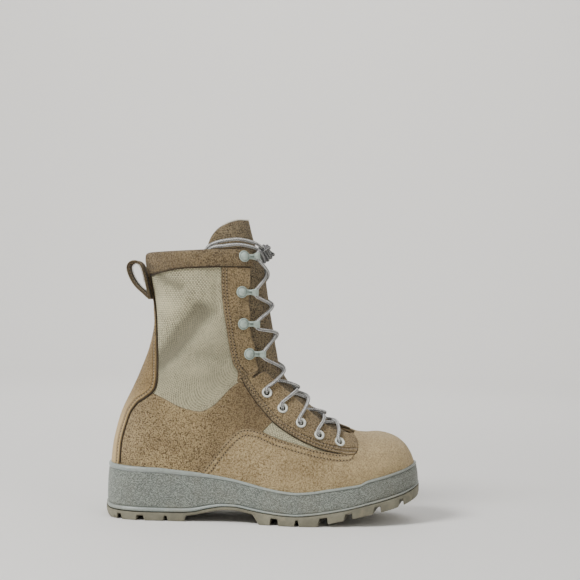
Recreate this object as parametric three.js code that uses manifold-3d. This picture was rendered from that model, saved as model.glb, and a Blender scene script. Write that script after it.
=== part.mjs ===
// A combat boot for the right foot, standing empty on its sole.
// Millimetres. +X runs to the toe, +Y to the inner side of the foot and +Z up.
// The tread rests on z = 0, under the middle of the sole.

import * as THREE from "three";
import { mergeVertices } from "three/addons/utils/BufferGeometryUtils.js";
import Module from "manifold-3d";

const wasm = await Module();
wasm.setup();

// Driving sizes.
const SOLE_LENGTH = 302;
const TOE_X = SOLE_LENGTH / 2;
const HEEL_X = -SOLE_LENGTH / 2;
const GAP = 0.3; // clearance left between two pieces that touch in the real boot
const SEAT = 0.5; // height of eyelets and hooks over the face that they sit on
const LACE = 3.4; // diameter of the lace
const TONGUE_THICKNESS = 4;
const INSOLE_THICKNESS = 4.5;
const STRAP_WIDTH = 34; // pull loop, across the boot
const STRAP_THICKNESS = 2.6;
const EYELET = { hole: 4.6, barrel: 5.6, flange: 10, rise: 1.2 };
const HOOK = { width: 7, plate: 1.2, reach: 15, slot: 4.4, cap: 10.5, rise: 2.6, lip: 7 };

// The upper is a row of slices from the toe to the collar. Each slice lies in a plane that
// holds the Y direction, and runs from a foot point (fx, fz) under the sole or on the heel
// line up to a ridge point (rx, rz) on the instep line. outer and inner are the Y of its two
// sides where it is widest, at the share "wide" of the way up, and ridge is the Y of its top.
// top and low are the exponents of its two rounded halves: 2 is an ellipse, more is squarer.
// front and back are the thicknesses of the wall at the ridge and on the sides and heel line.
const SLICE_COLUMNS = [
  "rx", "rz", "fx", "fz", "outer", "inner", "ridge", "wide", "top", "low", "front", "back",
];
const SLICES = [
  ["toe tip", 145.5, 50.5, 145.5, 47, 7.2, 8.8, 8, 0.5, 2.2, 2.2, 3, 3],
  ["toe 1", 144.6, 56.5, 143.2, 43.5, -2.5, 17.5, 7.5, 0.45, 2.3, 2.2, 3, 3],
  ["toe 2", 141.5, 64.5, 138.5, 40.5, -10.5, 25, 7, 0.4, 2.35, 2.2, 3, 3],
  ["toe 3", 135.5, 73.3, 131.5, 37.5, -20, 33, 6.5, 0.36, 2.4, 2.2, 3, 3],
  ["toe 4", 126, 79.8, 121.5, 33.5, -28, 39, 6, 0.33, 2.4, 2.2, 3, 3],
  ["toe 5", 112, 82.9, 106, 28, -36, 43.5, 6, 0.3, 2.35, 2.2, 3, 3],
  ["vamp 1", 98, 83.6, 90, 23.8, -41, 46, 6, 0.28, 2.25, 2.2, 3, 3],
  ["vamp 2", 85, 85.6, 73, 20.5, -44.3, 46.8, 6, 0.26, 2.15, 2.2, 3, 3],
  ["ball", 70, 93.5, 54, 18, -46.6, 45.3, 6, 0.24, 2.15, 2.2, 3, 3],
  ["instep 1", 54.5, 104.6, 32, 16.8, -47.6, 41.8, 6, 0.22, 2.15, 2.2, 3, 3],
  ["instep 2", 39.5, 118.5, 7, 18, -45.4, 35.8, 5, 0.22, 2.15, 2.2, 3, 3],
  ["instep 3", 27, 131, -22, 21.5, -40, 31.6, 4, 0.25, 2.1, 2.2, 3, 3],
  ["waist", 18.8, 143, -56, 24.8, -36.5, 30.8, 3, 0.3, 2.05, 2.2, 3, 3.2],
  ["ankle 1", 15.2, 152.5, -90, 26, -36, 31.8, 2, 0.36, 2, 2.3, 3, 3.4],
  ["ankle 2", 13.8, 159.5, -116, 26, -36, 33, 1, 0.4, 2, 2.4, 3, 3.6],
  ["heel 1", 12.7, 164.5, -132, 26.4, -36, 34.2, 0.5, 0.43, 2, 2.5, 3, 3.6],
  ["heel corner", 11.8, 169, -142, 29.5, -36, 35, 0, 0.45, 2, 2.6, 3, 3.6],
  ["heel 2", 10.8, 175, -146, 44, -36, 35.5, 0, 0.47, 2, 2.6, 3, 3.6],
  ["heel 3", 9.6, 181.5, -145.4, 62, -36, 36, 0, 0.49, 2, 2.5, 3, 3.6],
  ["heel 4", 8.2, 188.5, -142.2, 82, -36.3, 36.6, 0, 0.5, 2, 2.4, 3, 3.6],
  ["shaft 1", 6.8, 196, -136.4, 102, -36.8, 37.2, 0, 0.5, 2, 2.3, 3, 3.6],
  ["shaft 2", 5.4, 204, -127.8, 121, -37.2, 37.5, 0, 0.5, 2, 2.15, 3, 3.8],
  ["shaft 3", 4, 212.5, -119.6, 141, -37.2, 37.5, 0, 0.5, 2, 2.05, 3, 4],
  ["shaft 4", 2.6, 221, -112.8, 161, -37, 37.2, 0, 0.5, 2, 2, 3, 4.4],
  ["shaft 5", 1.2, 229.5, -108.7, 182, -37, 37, 0, 0.5, 2, 2, 3, 5],
  ["shaft 6", -0.4, 237.5, -109.4, 203, -37.5, 37.5, 0, 0.5, 2, 2, 3, 6],
  ["pad 1", -2.6, 245, -113.4, 221, -38, 38, 0, 0.5, 2, 2, 3, 7.5],
  ["pad 2", -5.4, 252.5, -117, 238, -38.5, 38.5, 0, 0.5, 2, 2, 3, 8.5],
  ["collar", -8.5, 259.5, -119, 253, -37.5, 37.5, 0, 0.5, 2, 2, 3, 7],
  ["above collar", -12.5, 271, -121, 270, -35.5, 35.5, 0, 0.5, 2, 2, 3, 5],
  ["tongue top", -17, 288, -124, 290, -33, 33, 0, 0.5, 2, 2, 3, 5],
].map(([name, ...values]) => ({
  name,
  ...Object.fromEntries(SLICE_COLUMNS.map((column, k) => [column, values[k]])),
}));
const sliceAt = (name) => SLICES.findIndex((slice) => slice.name === name);
const THROAT_FRONT = sliceAt("vamp 2") - 0.15;
const HEEL_CORNER = sliceAt("heel corner");
const COLLAR = sliceAt("collar");

// The throat: half of its width at a slice, with a notch where eyestay and facing meet.
const THROAT = [
  { at: THROAT_FRONT, half: 1 },
  { at: 6.95, half: 8 },
  { at: 7.2, half: 13.5 },
  { at: 7.6, half: 18 },
  { at: 8.4, half: 21 },
  { at: 9.7, half: 20.5 },
  { at: 11, half: 17.5 },
  { at: 12, half: 17.5 },
  { at: 13, half: 19 },
  { at: 13.9, half: 21.5 },
  { at: 14.4, half: 26.5 },
  { at: 14.9, half: 23.2 },
  { at: 17.6, half: 23.8 },
  { at: 19.5, half: 25.7 },
  { at: 23, half: 27.6 },
  { at: 25.9, half: 26 },
  { at: 27.3, half: 23.5 },
  { at: 30, half: 22 },
];

// The tongue: the share of each slice, from the foot point up, that it leaves free.
const TONGUE = [
  { at: 6.4, from: 0.975 },
  { at: 7, from: 0.93 },
  { at: 8, from: 0.87 },
  { at: 10, from: 0.82 },
  { at: 12, from: 0.74 },
  { at: 16, from: 0.66 },
  { at: 24, from: 0.56 },
  { at: 30, from: 0.52 },
];

// The plan of the sole: its half width and the Y of its middle at stations along X.
const HALF_WIDTH = [
  { x: -108, half: 39.3 },
  { x: -80, half: 38.8 },
  { x: -50, half: 38.2 },
  { x: -30, half: 38.6 },
  { x: -5, half: 42 },
  { x: 20, half: 47.5 },
  { x: 45, half: 51 },
  { x: 65, half: 51.6 },
];
const MIDDLE = [
  { x: -151, y: 0 },
  { x: -100, y: 0 },
  { x: -60, y: -1.4 },
  { x: -30, y: -3 },
  { x: 0, y: -4.8 },
  { x: 25, y: -4.2 },
  { x: 50, y: -1.1 },
  { x: 75, y: 1.6 },
  { x: 100, y: 3 },
  { x: 125, y: 5.5 },
  { x: 151, y: 8 },
];

// The side of the sole: the height of the cup's rim, of the line between midsole and
// outsole, of the root of the lugs and of the tread.
const SIDE = [
  { x: -151, rim: 51.5, line: 11, root: 9, tread: 8.5 },
  { x: -148, rim: 51.3, line: 9, root: 6.6, tread: 2.4 },
  { x: -143, rim: 50.8, line: 8.2, root: 5.2, tread: 0 },
  { x: -120, rim: 50, line: 8, root: 4.8, tread: 0 },
  { x: -97, rim: 49.4, line: 8, root: 4.8, tread: 0 },
  { x: -77, rim: 47.6, line: 8.2, root: 5, tread: 0 },
  { x: -67, rim: 46.7, line: 9, root: 6, tread: 0 },
  { x: -48, rim: 44.4, line: 13.2, root: 10, tread: 0 },
  { x: -38, rim: 42.8, line: 14.8, root: 11.8, tread: 0 },
  { x: -28, rim: 41.2, line: 15, root: 12, tread: 0 },
  { x: -9, rim: 37, line: 12.4, root: 9.2, tread: 0 },
  { x: 1, rim: 34.8, line: 11, root: 7.6, tread: 0 },
  { x: 20, rim: 32, line: 9.4, root: 6, tread: 0 },
  { x: 30, rim: 31.3, line: 9.2, root: 5.8, tread: 0 },
  { x: 48, rim: 32.6, line: 10.6, root: 7, tread: 0 },
  { x: 58, rim: 34.4, line: 12, root: 8.6, tread: 2 },
  { x: 78, rim: 37.4, line: 15.6, root: 12, tread: 6.2 },
  { x: 91, rim: 39.6, line: 18.6, root: 14.8, tread: 9 },
  { x: 97.5, rim: 42.9, line: 20.2, root: 16.4, tread: 10.4 },
  { x: 118, rim: 48, line: 25, root: 21, tread: 14.6 },
  { x: 134, rim: 52.6, line: 29.4, root: 25.2, tread: 18.8 },
  { x: 145, rim: 56.5, line: 33.6, root: 29.2, tread: 23 },
  { x: 151, rim: 58.5, line: 36.4, root: 32.4, tread: 26.6 },
];

// Grooves of the tread, from the edge inwards: the middle and width of each at the edge.
const GROOVES = [
  { x: -139.5, wide: 3.5 },
  { x: -118, wide: 6 },
  { x: -94, wide: 3.5 },
  { x: 9.5, wide: 7 },
  { x: 31.5, wide: 3.5 },
  { x: 56.5, wide: 8 },
  { x: 80, wide: 7 },
  { x: 106, wide: 6.5 },
  { x: 127, wide: 4 },
];
// Grooves across the band of lugs along the middle of the tread.
const MIDDLE_GROOVES = [
  { x: -129, wide: 5 },
  { x: -84, wide: 4 },
  { x: 20, wide: 5 },
  { x: 68, wide: 6 },
  { x: 94, wide: 6 },
  { x: 118, wide: 5 },
];
const MIDDLE_BAND = 12; // half of that band's width
const HEEL_BREAST = -73; // front face of the heel
const FOREPART_START = -5; // back face of the forepart tread

// Places of the eyelets and hooks in the side view, from the toe up.
const EYELETS = [
  { x: 71, z: 77 },
  { x: 51.5, z: 83.5 },
  { x: 34, z: 94.5 },
  { x: 16.5, z: 107.5 },
  { x: 1, z: 121.8 },
];
const HOOKS = [
  { x: -16.8, z: 158.5 },
  { x: -23.2, z: 187 },
  { x: -25.3, z: 217 },
  { x: -24.4, z: 250.5 },
];

const COLOURS = {
  outsole: { color: 0x6f6753, roughness: 0.85 },
  midsole: { color: 0x878b83, roughness: 0.7 },
  insole: { color: 0x2e3440, roughness: 0.95 },
  upper: { color: 0xa98c66, roughness: 0.9 },
  tongue: { color: 0x8a7352, roughness: 0.9 },
  strap: { color: 0x6a5b42, roughness: 0.9 },
  lace: { color: 0x9b9599, roughness: 0.85 },
  metal: { color: 0xc9d2c4, roughness: 0.4, metalness: 0.6 },
};

// ---- Helpers ----

// Reads a named column of a table at a value of its key column: a smooth curve through
// the rows that never swings past them.
function read(rows, key, column, value) {
  const last = rows.length - 1;
  if (value <= rows[0][key]) return rows[0][column];
  if (value >= rows[last][key]) return rows[last][column];
  let i = 0;
  while (rows[i + 1][key] < value) i += 1;
  const slope = (j) => (rows[j + 1][column] - rows[j][column]) / (rows[j + 1][key] - rows[j][key]);
  const tangent = (j) => {
    if (j === 0) return slope(0);
    if (j === last) return slope(last - 1);
    const before = slope(j - 1);
    const after = slope(j);
    return before * after <= 0 ? 0 : (2 * before * after) / (before + after);
  };
  const step = rows[i + 1][key] - rows[i][key];
  const t = (value - rows[i][key]) / step;
  const a = rows[i][column];
  const b = rows[i + 1][column];
  const ta = tangent(i) * step;
  const tb = tangent(i + 1) * step;
  const start = (a * (1 + 2 * t) + ta * t) * (1 - t) ** 2;
  const end = (b * (3 - 2 * t) - tb * (1 - t)) * t * t;
  return start + end;
}

// Reads a column of SLICES at any place between two rows, on a smooth curve through them.
function slice(column, at) {
  const i = Math.min(Math.floor(at), SLICES.length - 2);
  const value = (j) => SLICES[Math.max(0, Math.min(SLICES.length - 1, j))][column];
  const t = at - i;
  const [p, q, r, s] = [value(i - 1), value(i), value(i + 1), value(i + 2)];
  return q + 0.5 * t * (r - p + t * (2 * p - 5 * q + 4 * r - s + t * (3 * (q - r) + s - p)));
}

// A closed mesh of points and triangles, turned to face outwards.
function closedGeometry(points, triangles) {
  const merged = mergeVertices(
    new THREE.BufferGeometry()
      .setAttribute("position", new THREE.Float32BufferAttribute(points.flat(), 3))
      .setIndex(triangles.flat()),
    1e-4,
  );
  const position = merged.attributes.position;
  const corner = [0, 1, 2].map(() => new THREE.Vector3());
  const kept = [];
  let volume = 0;
  for (let i = 0; i < merged.index.count; i += 3) {
    const [a, b, c] = [0, 1, 2].map((k) => merged.index.getX(i + k));
    if (a === b || b === c || a === c) continue;
    kept.push(a, b, c);
    corner.forEach((v, k) => v.fromBufferAttribute(position, [a, b, c][k]));
    volume += corner[0].dot(corner[1].clone().cross(corner[2]));
  }
  if (volume < 0) kept.reverse();
  return new THREE.BufferGeometry().setAttribute("position", position).setIndex(kept);
}

// Rings of equally many points, joined in order, with a flat fan at both ends.
function loft(rings) {
  const count = rings[0].length;
  const points = rings.flat();
  const triangles = [];
  for (let r = 0; r + 1 < rings.length; r += 1) {
    for (let i = 0; i < count; i += 1) {
      const [a, b] = [r * count + i, r * count + ((i + 1) % count)];
      triangles.push([a, b, b + count], [a, b + count, a + count]);
    }
  }
  [0, rings.length - 1].forEach((r) => {
    const middle = [0, 1, 2].map((k) => rings[r].reduce((sum, p) => sum + p[k], 0) / count);
    const centre = points.push(middle) - 1;
    for (let i = 0; i < count; i += 1) {
      const [a, b] = [r * count + i, r * count + ((i + 1) % count)];
      triangles.push(r === 0 ? [b, a, centre] : [a, b, centre]);
    }
  });
  return closedGeometry(points, triangles);
}

function solidOf(geometry, matrix = new THREE.Matrix4()) {
  const bare = new THREE.BufferGeometry().setAttribute("position", geometry.attributes.position.clone());
  bare.setIndex(geometry.index ? [...geometry.index.array] : null);
  const merged = mergeVertices(bare.applyMatrix4(matrix), 1e-4);
  return new wasm.Manifold(
    new wasm.Mesh({
      numProp: 3,
      vertProperties: new Float32Array(merged.attributes.position.array),
      triVerts: new Uint32Array(merged.index.array),
    }),
  );
}

function geometryOf(solid) {
  const mesh = solid.getMesh();
  const geometry = new THREE.BufferGeometry()
    .setAttribute("position", new THREE.BufferAttribute(new Float32Array(mesh.vertProperties), 3))
    .setIndex(new THREE.BufferAttribute(new Uint32Array(mesh.triVerts), 1));
  geometry.computeVertexNormals();
  return geometry;
}

function meshOf(name, geometry, finish) {
  const mesh = new THREE.Mesh(geometry, new THREE.MeshStandardMaterial(finish));
  mesh.name = name;
  return mesh;
}

const boot = new THREE.Group();
const addSolid = (name, solid, finish) => boot.add(meshOf(name, geometryOf(solid), finish));

// A box between two corners, as a solid.
function block(low, high) {
  const size = high.map((value, k) => value - low[k]);
  const middle = high.map((value, k) => (value + low[k]) / 2);
  return solidOf(new THREE.BoxGeometry(...size), new THREE.Matrix4().makeTranslation(...middle));
}

// A shape drawn in the side view (x to the toe, y up), pushed across the boot.
function acrossBoot(shape, width, curveSegments = 12) {
  const pushed = new THREE.ExtrudeGeometry(shape, { depth: width, bevelEnabled: false, curveSegments });
  pushed.translate(0, 0, -width / 2);
  return solidOf(pushed, new THREE.Matrix4().makeRotationX(Math.PI / 2));
}

// ---- The sole's plan ----

// Half of the plan's width at x, drawn in by an inset, with round ends at heel and toe.
function halfWidth(x, plan) {
  const heelFrom = plan.heel + 43;
  const toeFrom = plan.toe - 86;
  const wide = read(HALF_WIDTH, "x", "half", x) - plan.inset;
  if (x < heelFrom) return wide * (1 - Math.min(1, (heelFrom - x) / 43) ** 2.3) ** (1 / 2.3);
  if (x > toeFrom) return wide * (1 - Math.min(1, (x - toeFrom) / 86) ** 2.2) ** (1 / 2.2);
  return wide;
}
const planDrawnIn = (inset, heelInset = inset, toeInset = inset) => ({
  inset,
  heel: HEEL_X + heelInset,
  toe: TOE_X - toeInset,
});
const FEATHER = planDrawnIn(9.5, -HEEL_X - 142, TOE_X - 145.5); // lower edge of the upper

// One level of a slab: points along the outer side to the toe and back along the inner
// side, at the height given by a function of x.
function level(plan, height, steps) {
  const outer = [];
  const inner = [];
  for (let i = 0; i <= steps; i += 1) {
    const x = (plan.heel + plan.toe) / 2 - ((plan.toe - plan.heel) / 2) * Math.cos((Math.PI * i) / steps);
    const middle = read(MIDDLE, "x", "y", x);
    const half = i === 0 || i === steps ? 0 : halfWidth(x, plan);
    outer.push([x, middle - half, height(x)]);
    inner.push([x, middle + half, height(x)]);
  }
  return { outer, inner };
}

// A solid between levels that share a number of steps, from the bottom up.
function slab(levels) {
  const steps = levels[0].outer.length - 1;
  const points = [];
  const triangles = [];
  const place = levels.map(({ outer, inner }) => {
    const from = points.length;
    points.push(...outer, ...inner);
    return { outer: (i) => from + i, inner: (i) => from + steps + 1 + i };
  });
  const quad = (a, b, c, d) => triangles.push([a, b, c], [a, c, d]);
  for (let i = 0; i < steps; i += 1) {
    const [low, high] = [place[0], place[place.length - 1]];
    quad(low.outer(i), low.inner(i), low.inner(i + 1), low.outer(i + 1));
    quad(high.outer(i), high.outer(i + 1), high.inner(i + 1), high.inner(i));
    for (let n = 0; n + 1 < place.length; n += 1) {
      quad(place[n].outer(i), place[n].outer(i + 1), place[n + 1].outer(i + 1), place[n + 1].outer(i));
      quad(place[n].inner(i + 1), place[n].inner(i), place[n + 1].inner(i), place[n + 1].inner(i + 1));
    }
  }
  return solidOf(closedGeometry(points, triangles));
}
const side = (column, lift = 0) => (x) => read(SIDE, "x", column, x) + lift;

// ---- The upper's form ----

// Both ends of a slice in the side view, moved in by the thicknesses asked for.
function sliceEnds(at, front, back) {
  const step = 0.02;
  const tangent = (px, pz) => {
    const [a, b] = [Math.max(0, at - step), Math.min(SLICES.length - 1, at + step)];
    return new THREE.Vector2(slice(px, b) - slice(px, a), slice(pz, b) - slice(pz, a)).normalize();
  };
  const ridge = tangent("rx", "rz");
  const foot = tangent("fx", "fz");
  return {
    ridge: [slice("rx", at) - ridge.y * front, slice("rz", at) + ridge.x * front],
    foot: [slice("fx", at) + foot.y * back, slice("fz", at) - foot.x * back],
  };
}

// Half of the opening under the foot at a slice: nothing once the slices climb the heel.
function featherHalf(at, depth) {
  if (at >= HEEL_CORNER) return 0;
  return Math.max(0, halfWidth(slice("fx", at), FEATHER) - depth);
}

// A point of the form. way is -1 for the outer side and 1 for the inner, turn runs from -1
// at the foot point through 0 at the widest place to 1 at the ridge, and depth is how far
// the point lies under the upper's face, as { front, back }.
function formPoint(at, way, turn, depth) {
  const { ridge, foot } = sliceEnds(at, depth.front, depth.back);
  const wide = slice("wide", at);
  const edge = slice(way < 0 ? "outer" : "inner", at) - way * depth.back;
  const power = 2 / slice(turn >= 0 ? "top" : "low", at);
  const angle = (Math.abs(turn) * Math.PI) / 2;
  const out = Math.max(0, Math.cos(angle)) ** power;
  const up = Math.sin(angle) ** power;
  const middle = at >= HEEL_CORNER ? 0 : read(MIDDLE, "x", "y", slice("fx", at));
  const from = turn >= 0 ? slice("ridge", at) : middle + way * featherHalf(at, depth.back);
  const y = turn === 1 || turn === -1 ? from : from + (edge - from) * out;
  const share = turn >= 0 ? wide + (1 - wide) * up : wide * (1 - up);
  return [foot[0] + (ridge[0] - foot[0]) * share, y, foot[1] + (ridge[1] - foot[1]) * share];
}

const wallAt = (at, more = 0) => ({ front: slice("front", at) + more, back: slice("back", at) + more });

// The form as a solid, from one slice to another, at a depth given by a function.
function form(from, to, rings, around, depth) {
  const loops = [];
  for (let n = 0; n <= rings; n += 1) {
    const at = from + ((to - from) * n) / rings;
    const loop = [];
    for (let i = 0; i < around; i += 1) loop.push(formPoint(at, -1, -1 + (2 * i) / around, depth(at)));
    for (let i = 0; i <= around; i += 1) loop.push(formPoint(at, 1, 1 - (2 * i) / around, depth(at)));
    loops.push(loop);
  }
  return solidOf(loft(loops));
}

// A wedge along the instep: in each slice, from a share of its height outwards and as wide
// as asked for.
function wedge(from, to, rings, shareAt, halfAt) {
  const OUT = 1.35;
  const loops = [];
  for (let n = 0; n <= rings; n += 1) {
    const at = from + ((to - from) * n) / rings;
    const { ridge, foot } = sliceEnds(at, 0, 0);
    const up = (k, share) => foot[k] + (ridge[k] - foot[k]) * share;
    const corner = (share, y) => [up(0, share), y, up(1, share)];
    const share = shareAt(at);
    const half = halfAt(at);
    loops.push([corner(share, -half), corner(OUT, -half), corner(OUT, half), corner(share, half)]);
  }
  return solidOf(loft(loops));
}

// The place on the form's outer side that shows at (x, z) in the side view.
function placeOf(x, z) {
  let best = { at: 15, turn: 0.5, miss: Infinity };
  let reach = { at: 12, turn: 0.5 };
  for (let round = 0; round < 12; round += 1) {
    const centre = best;
    for (let i = -8; i <= 8; i += 1) {
      for (let j = -8; j <= 8; j += 1) {
        const at = Math.max(0.1, Math.min(COLLAR, centre.at + (reach.at * i) / 8));
        const turn = Math.max(0.01, Math.min(0.99, centre.turn + (reach.turn * j) / 8));
        const [px, , pz] = formPoint(at, -1, turn, { front: 0, back: 0 });
        const miss = Math.hypot(px - x, pz - z);
        if (miss < best.miss) best = { at, turn, miss };
      }
    }
    reach = { at: reach.at / 2, turn: reach.turn / 2 };
  }
  return best;
}

// The point at a place on either side, lifted off the face, with the directions there: out
// of the face, forward to the ridge and up. level keeps the forward one horizontal.
function frameAt(place, way, lift, level = false) {
  const here = (at, turn) => new THREE.Vector3(...formPoint(at, way, turn, { front: 0, back: 0 }));
  const point = here(place.at, place.turn);
  const forward = here(place.at, place.turn + 0.01).sub(here(place.at, place.turn - 0.01)).normalize();
  const along = here(place.at + 0.05, place.turn).sub(here(place.at - 0.05, place.turn));
  const out = forward.clone().cross(along).normalize();
  if (out.y * way < 0) out.negate();
  if (level) forward.set(out.y, -out.x, 0).normalize();
  if (forward.x < 0) forward.negate();
  const up = out.clone().cross(forward).normalize();
  if (up.z < 0) up.negate();
  return { point: point.addScaledVector(out, lift), out, forward, up };
}

// How far round a slice the throat's edge lies.
function throatTurn(at) {
  const half = read(THROAT, "at", "half", at);
  let turn = 0;
  while (turn < 1 && Math.abs(formPoint(at, -1, turn, { front: 0, back: 0 })[1]) > half) turn += 0.01;
  return turn;
}

// ---- Sole ----

const STEPS = 40; // stations along the sole
const RINGS = 34; // slices along the upper
const AROUND = 10; // points on each side of a slice

function makeMidsole() {
  const rise = (share, lift) => (x) => side("line", lift)(x) * (1 - share) + side("rim")(x) * share;
  const body = slab([
    level(planDrawnIn(0.6), rise(0, GAP / 2), STEPS),
    level(planDrawnIn(0.8), rise(0.12, GAP / 2), STEPS),
    level(planDrawnIn(2.2, 1.2, 3), rise(0.88, GAP / 2), STEPS),
    level(planDrawnIn(2.8, 1.6, 3.8), rise(1, 0), STEPS),
  ]);
  const room = form(0, COLLAR, RINGS, AROUND, () => ({ front: -GAP, back: -GAP }));
  return body.subtract(room);
}

// A groove from the edge to the middle band on one side, leaning forward as it goes in.
function sideGroove({ x, wide }, way) {
  const middle = read(MIDDLE, "x", "y", x);
  const [outX, inX] = [x, x + 9];
  const shape = new THREE.Shape([
    new THREE.Vector2(outX - wide / 2 - 4, middle + way * 70),
    new THREE.Vector2(outX + wide / 2 - 4, middle + way * 70),
    new THREE.Vector2(inX + wide / 2, middle + way * MIDDLE_BAND),
    new THREE.Vector2(inX - wide / 2, middle + way * MIDDLE_BAND),
  ]);
  const floor = read(SIDE, "x", "root", x);
  const cut = new THREE.ExtrudeGeometry(shape, { depth: floor + 5, bevelEnabled: false });
  return solidOf(cut, new THREE.Matrix4().makeTranslation(0, 0, -5));
}

function makeOutsole() {
  let sole = slab([
    level(planDrawnIn(0.8), side("tread"), STEPS),
    level(planDrawnIn(0), (x) => Math.max(side("tread", 1)(x), side("root")(x)), STEPS),
    level(planDrawnIn(0), side("line", -GAP / 2), STEPS),
  ]);
  GROOVES.forEach((groove) => {
    sole = sole.subtract(sideGroove(groove, -1)).subtract(sideGroove(groove, 1));
  });
  MIDDLE_GROOVES.forEach(({ x, wide }) => {
    const y = read(MIDDLE, "x", "y", x);
    const top = read(SIDE, "x", "root", x);
    const reach = MIDDLE_BAND + 1;
    sole = sole.subtract(block([x - wide / 2, y - reach, -5], [x + wide / 2, y + reach, top]));
  });
  const arch = new THREE.Shape([new THREE.Vector2(HEEL_BREAST, -5)]);
  for (let i = 0; i <= 8; i += 1) {
    const x = HEEL_BREAST + ((FOREPART_START - HEEL_BREAST) * i) / 8;
    arch.lineTo(x, read(SIDE, "x", "root", x));
  }
  arch.lineTo(FOREPART_START + 5, -5);
  return sole.subtract(acrossBoot(arch, 140));
}

function makeInsole() {
  const plan = { inset: FEATHER.inset + 4, heel: FEATHER.heel + 7, toe: FEATHER.toe - 6 };
  const floors = SLICES.slice(0, HEEL_CORNER - 1).reverse();
  const floor = (x) => read(floors, "fx", "fz", x);
  return slab([
    level(plan, (x) => floor(x) + 0.6, 24),
    level(plan, (x) => floor(x) + INSOLE_THICKNESS, 24),
  ]);
}

// ---- Upper and tongue ----

function makeUpper() {
  const outside = form(0, COLLAR, RINGS, AROUND, () => ({ front: 0, back: 0 }));
  const inside = form(0.85, SLICES.length - 1.4, 26, 9, (at) => wallAt(at));
  const openPlan = { inset: FEATHER.inset + 3, heel: FEATHER.heel + 3.4, toe: FEATHER.toe - 3.4 };
  const floors = SLICES.slice(0, HEEL_CORNER - 1).reverse();
  const floor = (x) => read(floors, "fx", "fz", x);
  const underside = slab([
    level(openPlan, (x) => floor(x) - 12, 24),
    level(openPlan, (x) => floor(x) + 7, 24),
  ]);
  const throatHalf = (at) => read(THROAT, "at", "half", at);
  const throat = wedge(THROAT_FRONT, SLICES.length - 1, 36, () => 0.62, throatHalf);
  let upper = outside.subtract(inside).subtract(underside).subtract(throat);
  const bore = new THREE.CylinderGeometry(EYELET.barrel / 2 + 0.5, EYELET.barrel / 2 + 0.5, 16, 8);
  EYELETS.forEach(({ x, z }) => {
    [-1, 1].forEach((way) => {
      const { point, out } = frameAt(placeOf(x, z), way, 0);
      const turned = new THREE.Quaternion().setFromUnitVectors(new THREE.Vector3(0, 1, 0), out);
      const placed = new THREE.Matrix4().makeRotationFromQuaternion(turned).setPosition(point);
      upper = upper.subtract(solidOf(bore, placed));
    });
  });
  return upper;
}

function makeTongue() {
  const last = SLICES.length - 1;
  const face = form(5.5, last, 24, 9, (at) => wallAt(at, 1.2));
  const lining = form(5.4, last, 24, 9, (at) => wallAt(at, 1.2 + TONGUE_THICKNESS));
  const strip = wedge(TONGUE[0].at, last - 0.05, 22, (at) => read(TONGUE, "at", "from", at), () => 80);
  const topEdge = new THREE.Shape([new THREE.Vector2(140, 20), new THREE.Vector2(140, 240)]);
  topEdge.lineTo(-8, 285);
  topEdge.splineThru(
    [
      [-19, 286.5],
      [-26, 286.2],
      [-36, 284],
      [-46, 279],
      [-53, 272],
      [-57, 264],
      [-59, 256],
    ].map(([x, z]) => new THREE.Vector2(x, z)),
  );
  topEdge.lineTo(-80, 20);
  return face.subtract(lining).intersect(strip).intersect(acrossBoot(topEdge, 120, 8));
}

// ---- Pull loop: a strap folded into a drop behind the collar ----

function makePullLoop() {
  const outline = (inset) =>
    new THREE.Shape().setFromPoints(
      new THREE.CatmullRomCurve3(
        [
          [-112.3 + 0.2 * inset, 205 + 4.5 * inset],
          [-117.5 + 0.4 * inset, 211.5 + inset],
          [-127 + 0.7 * inset, 219.5 + 0.7 * inset],
          [-134 + 0.9 * inset, 229 + 0.4 * inset],
          [-136.6 + inset, 238],
          [-133.5 + 0.7 * inset, 243.6 - 0.7 * inset],
          [-127 + 0.1 * inset, 244.6 - inset],
          [-121.5 - 0.7 * inset, 240 - 0.7 * inset],
          [-118.5 - inset, 231 - 0.2 * inset],
          [-115.4 - inset, 218.5],
        ].map(([x, z]) => new THREE.Vector3(x, z, 0)),
        true,
      )
        .getPoints(26)
        .slice(0, -1)
        .map(({ x, y }) => new THREE.Vector2(x, y)),
    );
  const loop = acrossBoot(outline(0), STRAP_WIDTH);
  return loop.subtract(acrossBoot(outline(STRAP_THICKNESS), STRAP_WIDTH + 4));
}

// ---- Lace hardware ----

function eyeletGeometry() {
  const { hole, barrel, flange, rise } = EYELET;
  const foot = -3.4;
  const profile = [
    [hole / 2, foot],
    [barrel / 2, foot],
    [barrel / 2, 0],
    [flange / 2, 0],
    [flange / 2 - 0.7, rise],
    [hole / 2, rise],
    [hole / 2, foot],
  ];
  return new THREE.LatheGeometry(profile.map(([r, y]) => new THREE.Vector2(r, y)), 10);
}

// A riveted plate that curls out and back over the lace. x runs to the ridge, z out.
function hookGeometry() {
  const { width, plate, reach, slot, cap, rise, lip } = HOOK;
  const middle = plate + slot / 2;
  const shape = new THREE.Shape();
  shape.moveTo(-3, 0);
  shape.lineTo(reach, 0);
  shape.absarc(reach, middle, middle, -Math.PI / 2, Math.PI / 2);
  shape.lineTo(reach - lip, 2 * middle);
  shape.lineTo(reach - lip, 2 * middle - plate);
  shape.lineTo(reach, 2 * middle - plate);
  shape.absarc(reach, middle, slot / 2, Math.PI / 2, -Math.PI / 2, true);
  shape.lineTo(-3, plate);
  const strip = acrossBoot(shape, width, 5);
  const disc = new THREE.CylinderGeometry(cap / 2 - 0.8, cap / 2, rise, 12);
  const seat = new THREE.Matrix4().makeRotationX(Math.PI / 2).setPosition(0, 0, rise / 2);
  return geometryOf(strip.add(solidOf(disc, seat)));
}

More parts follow.
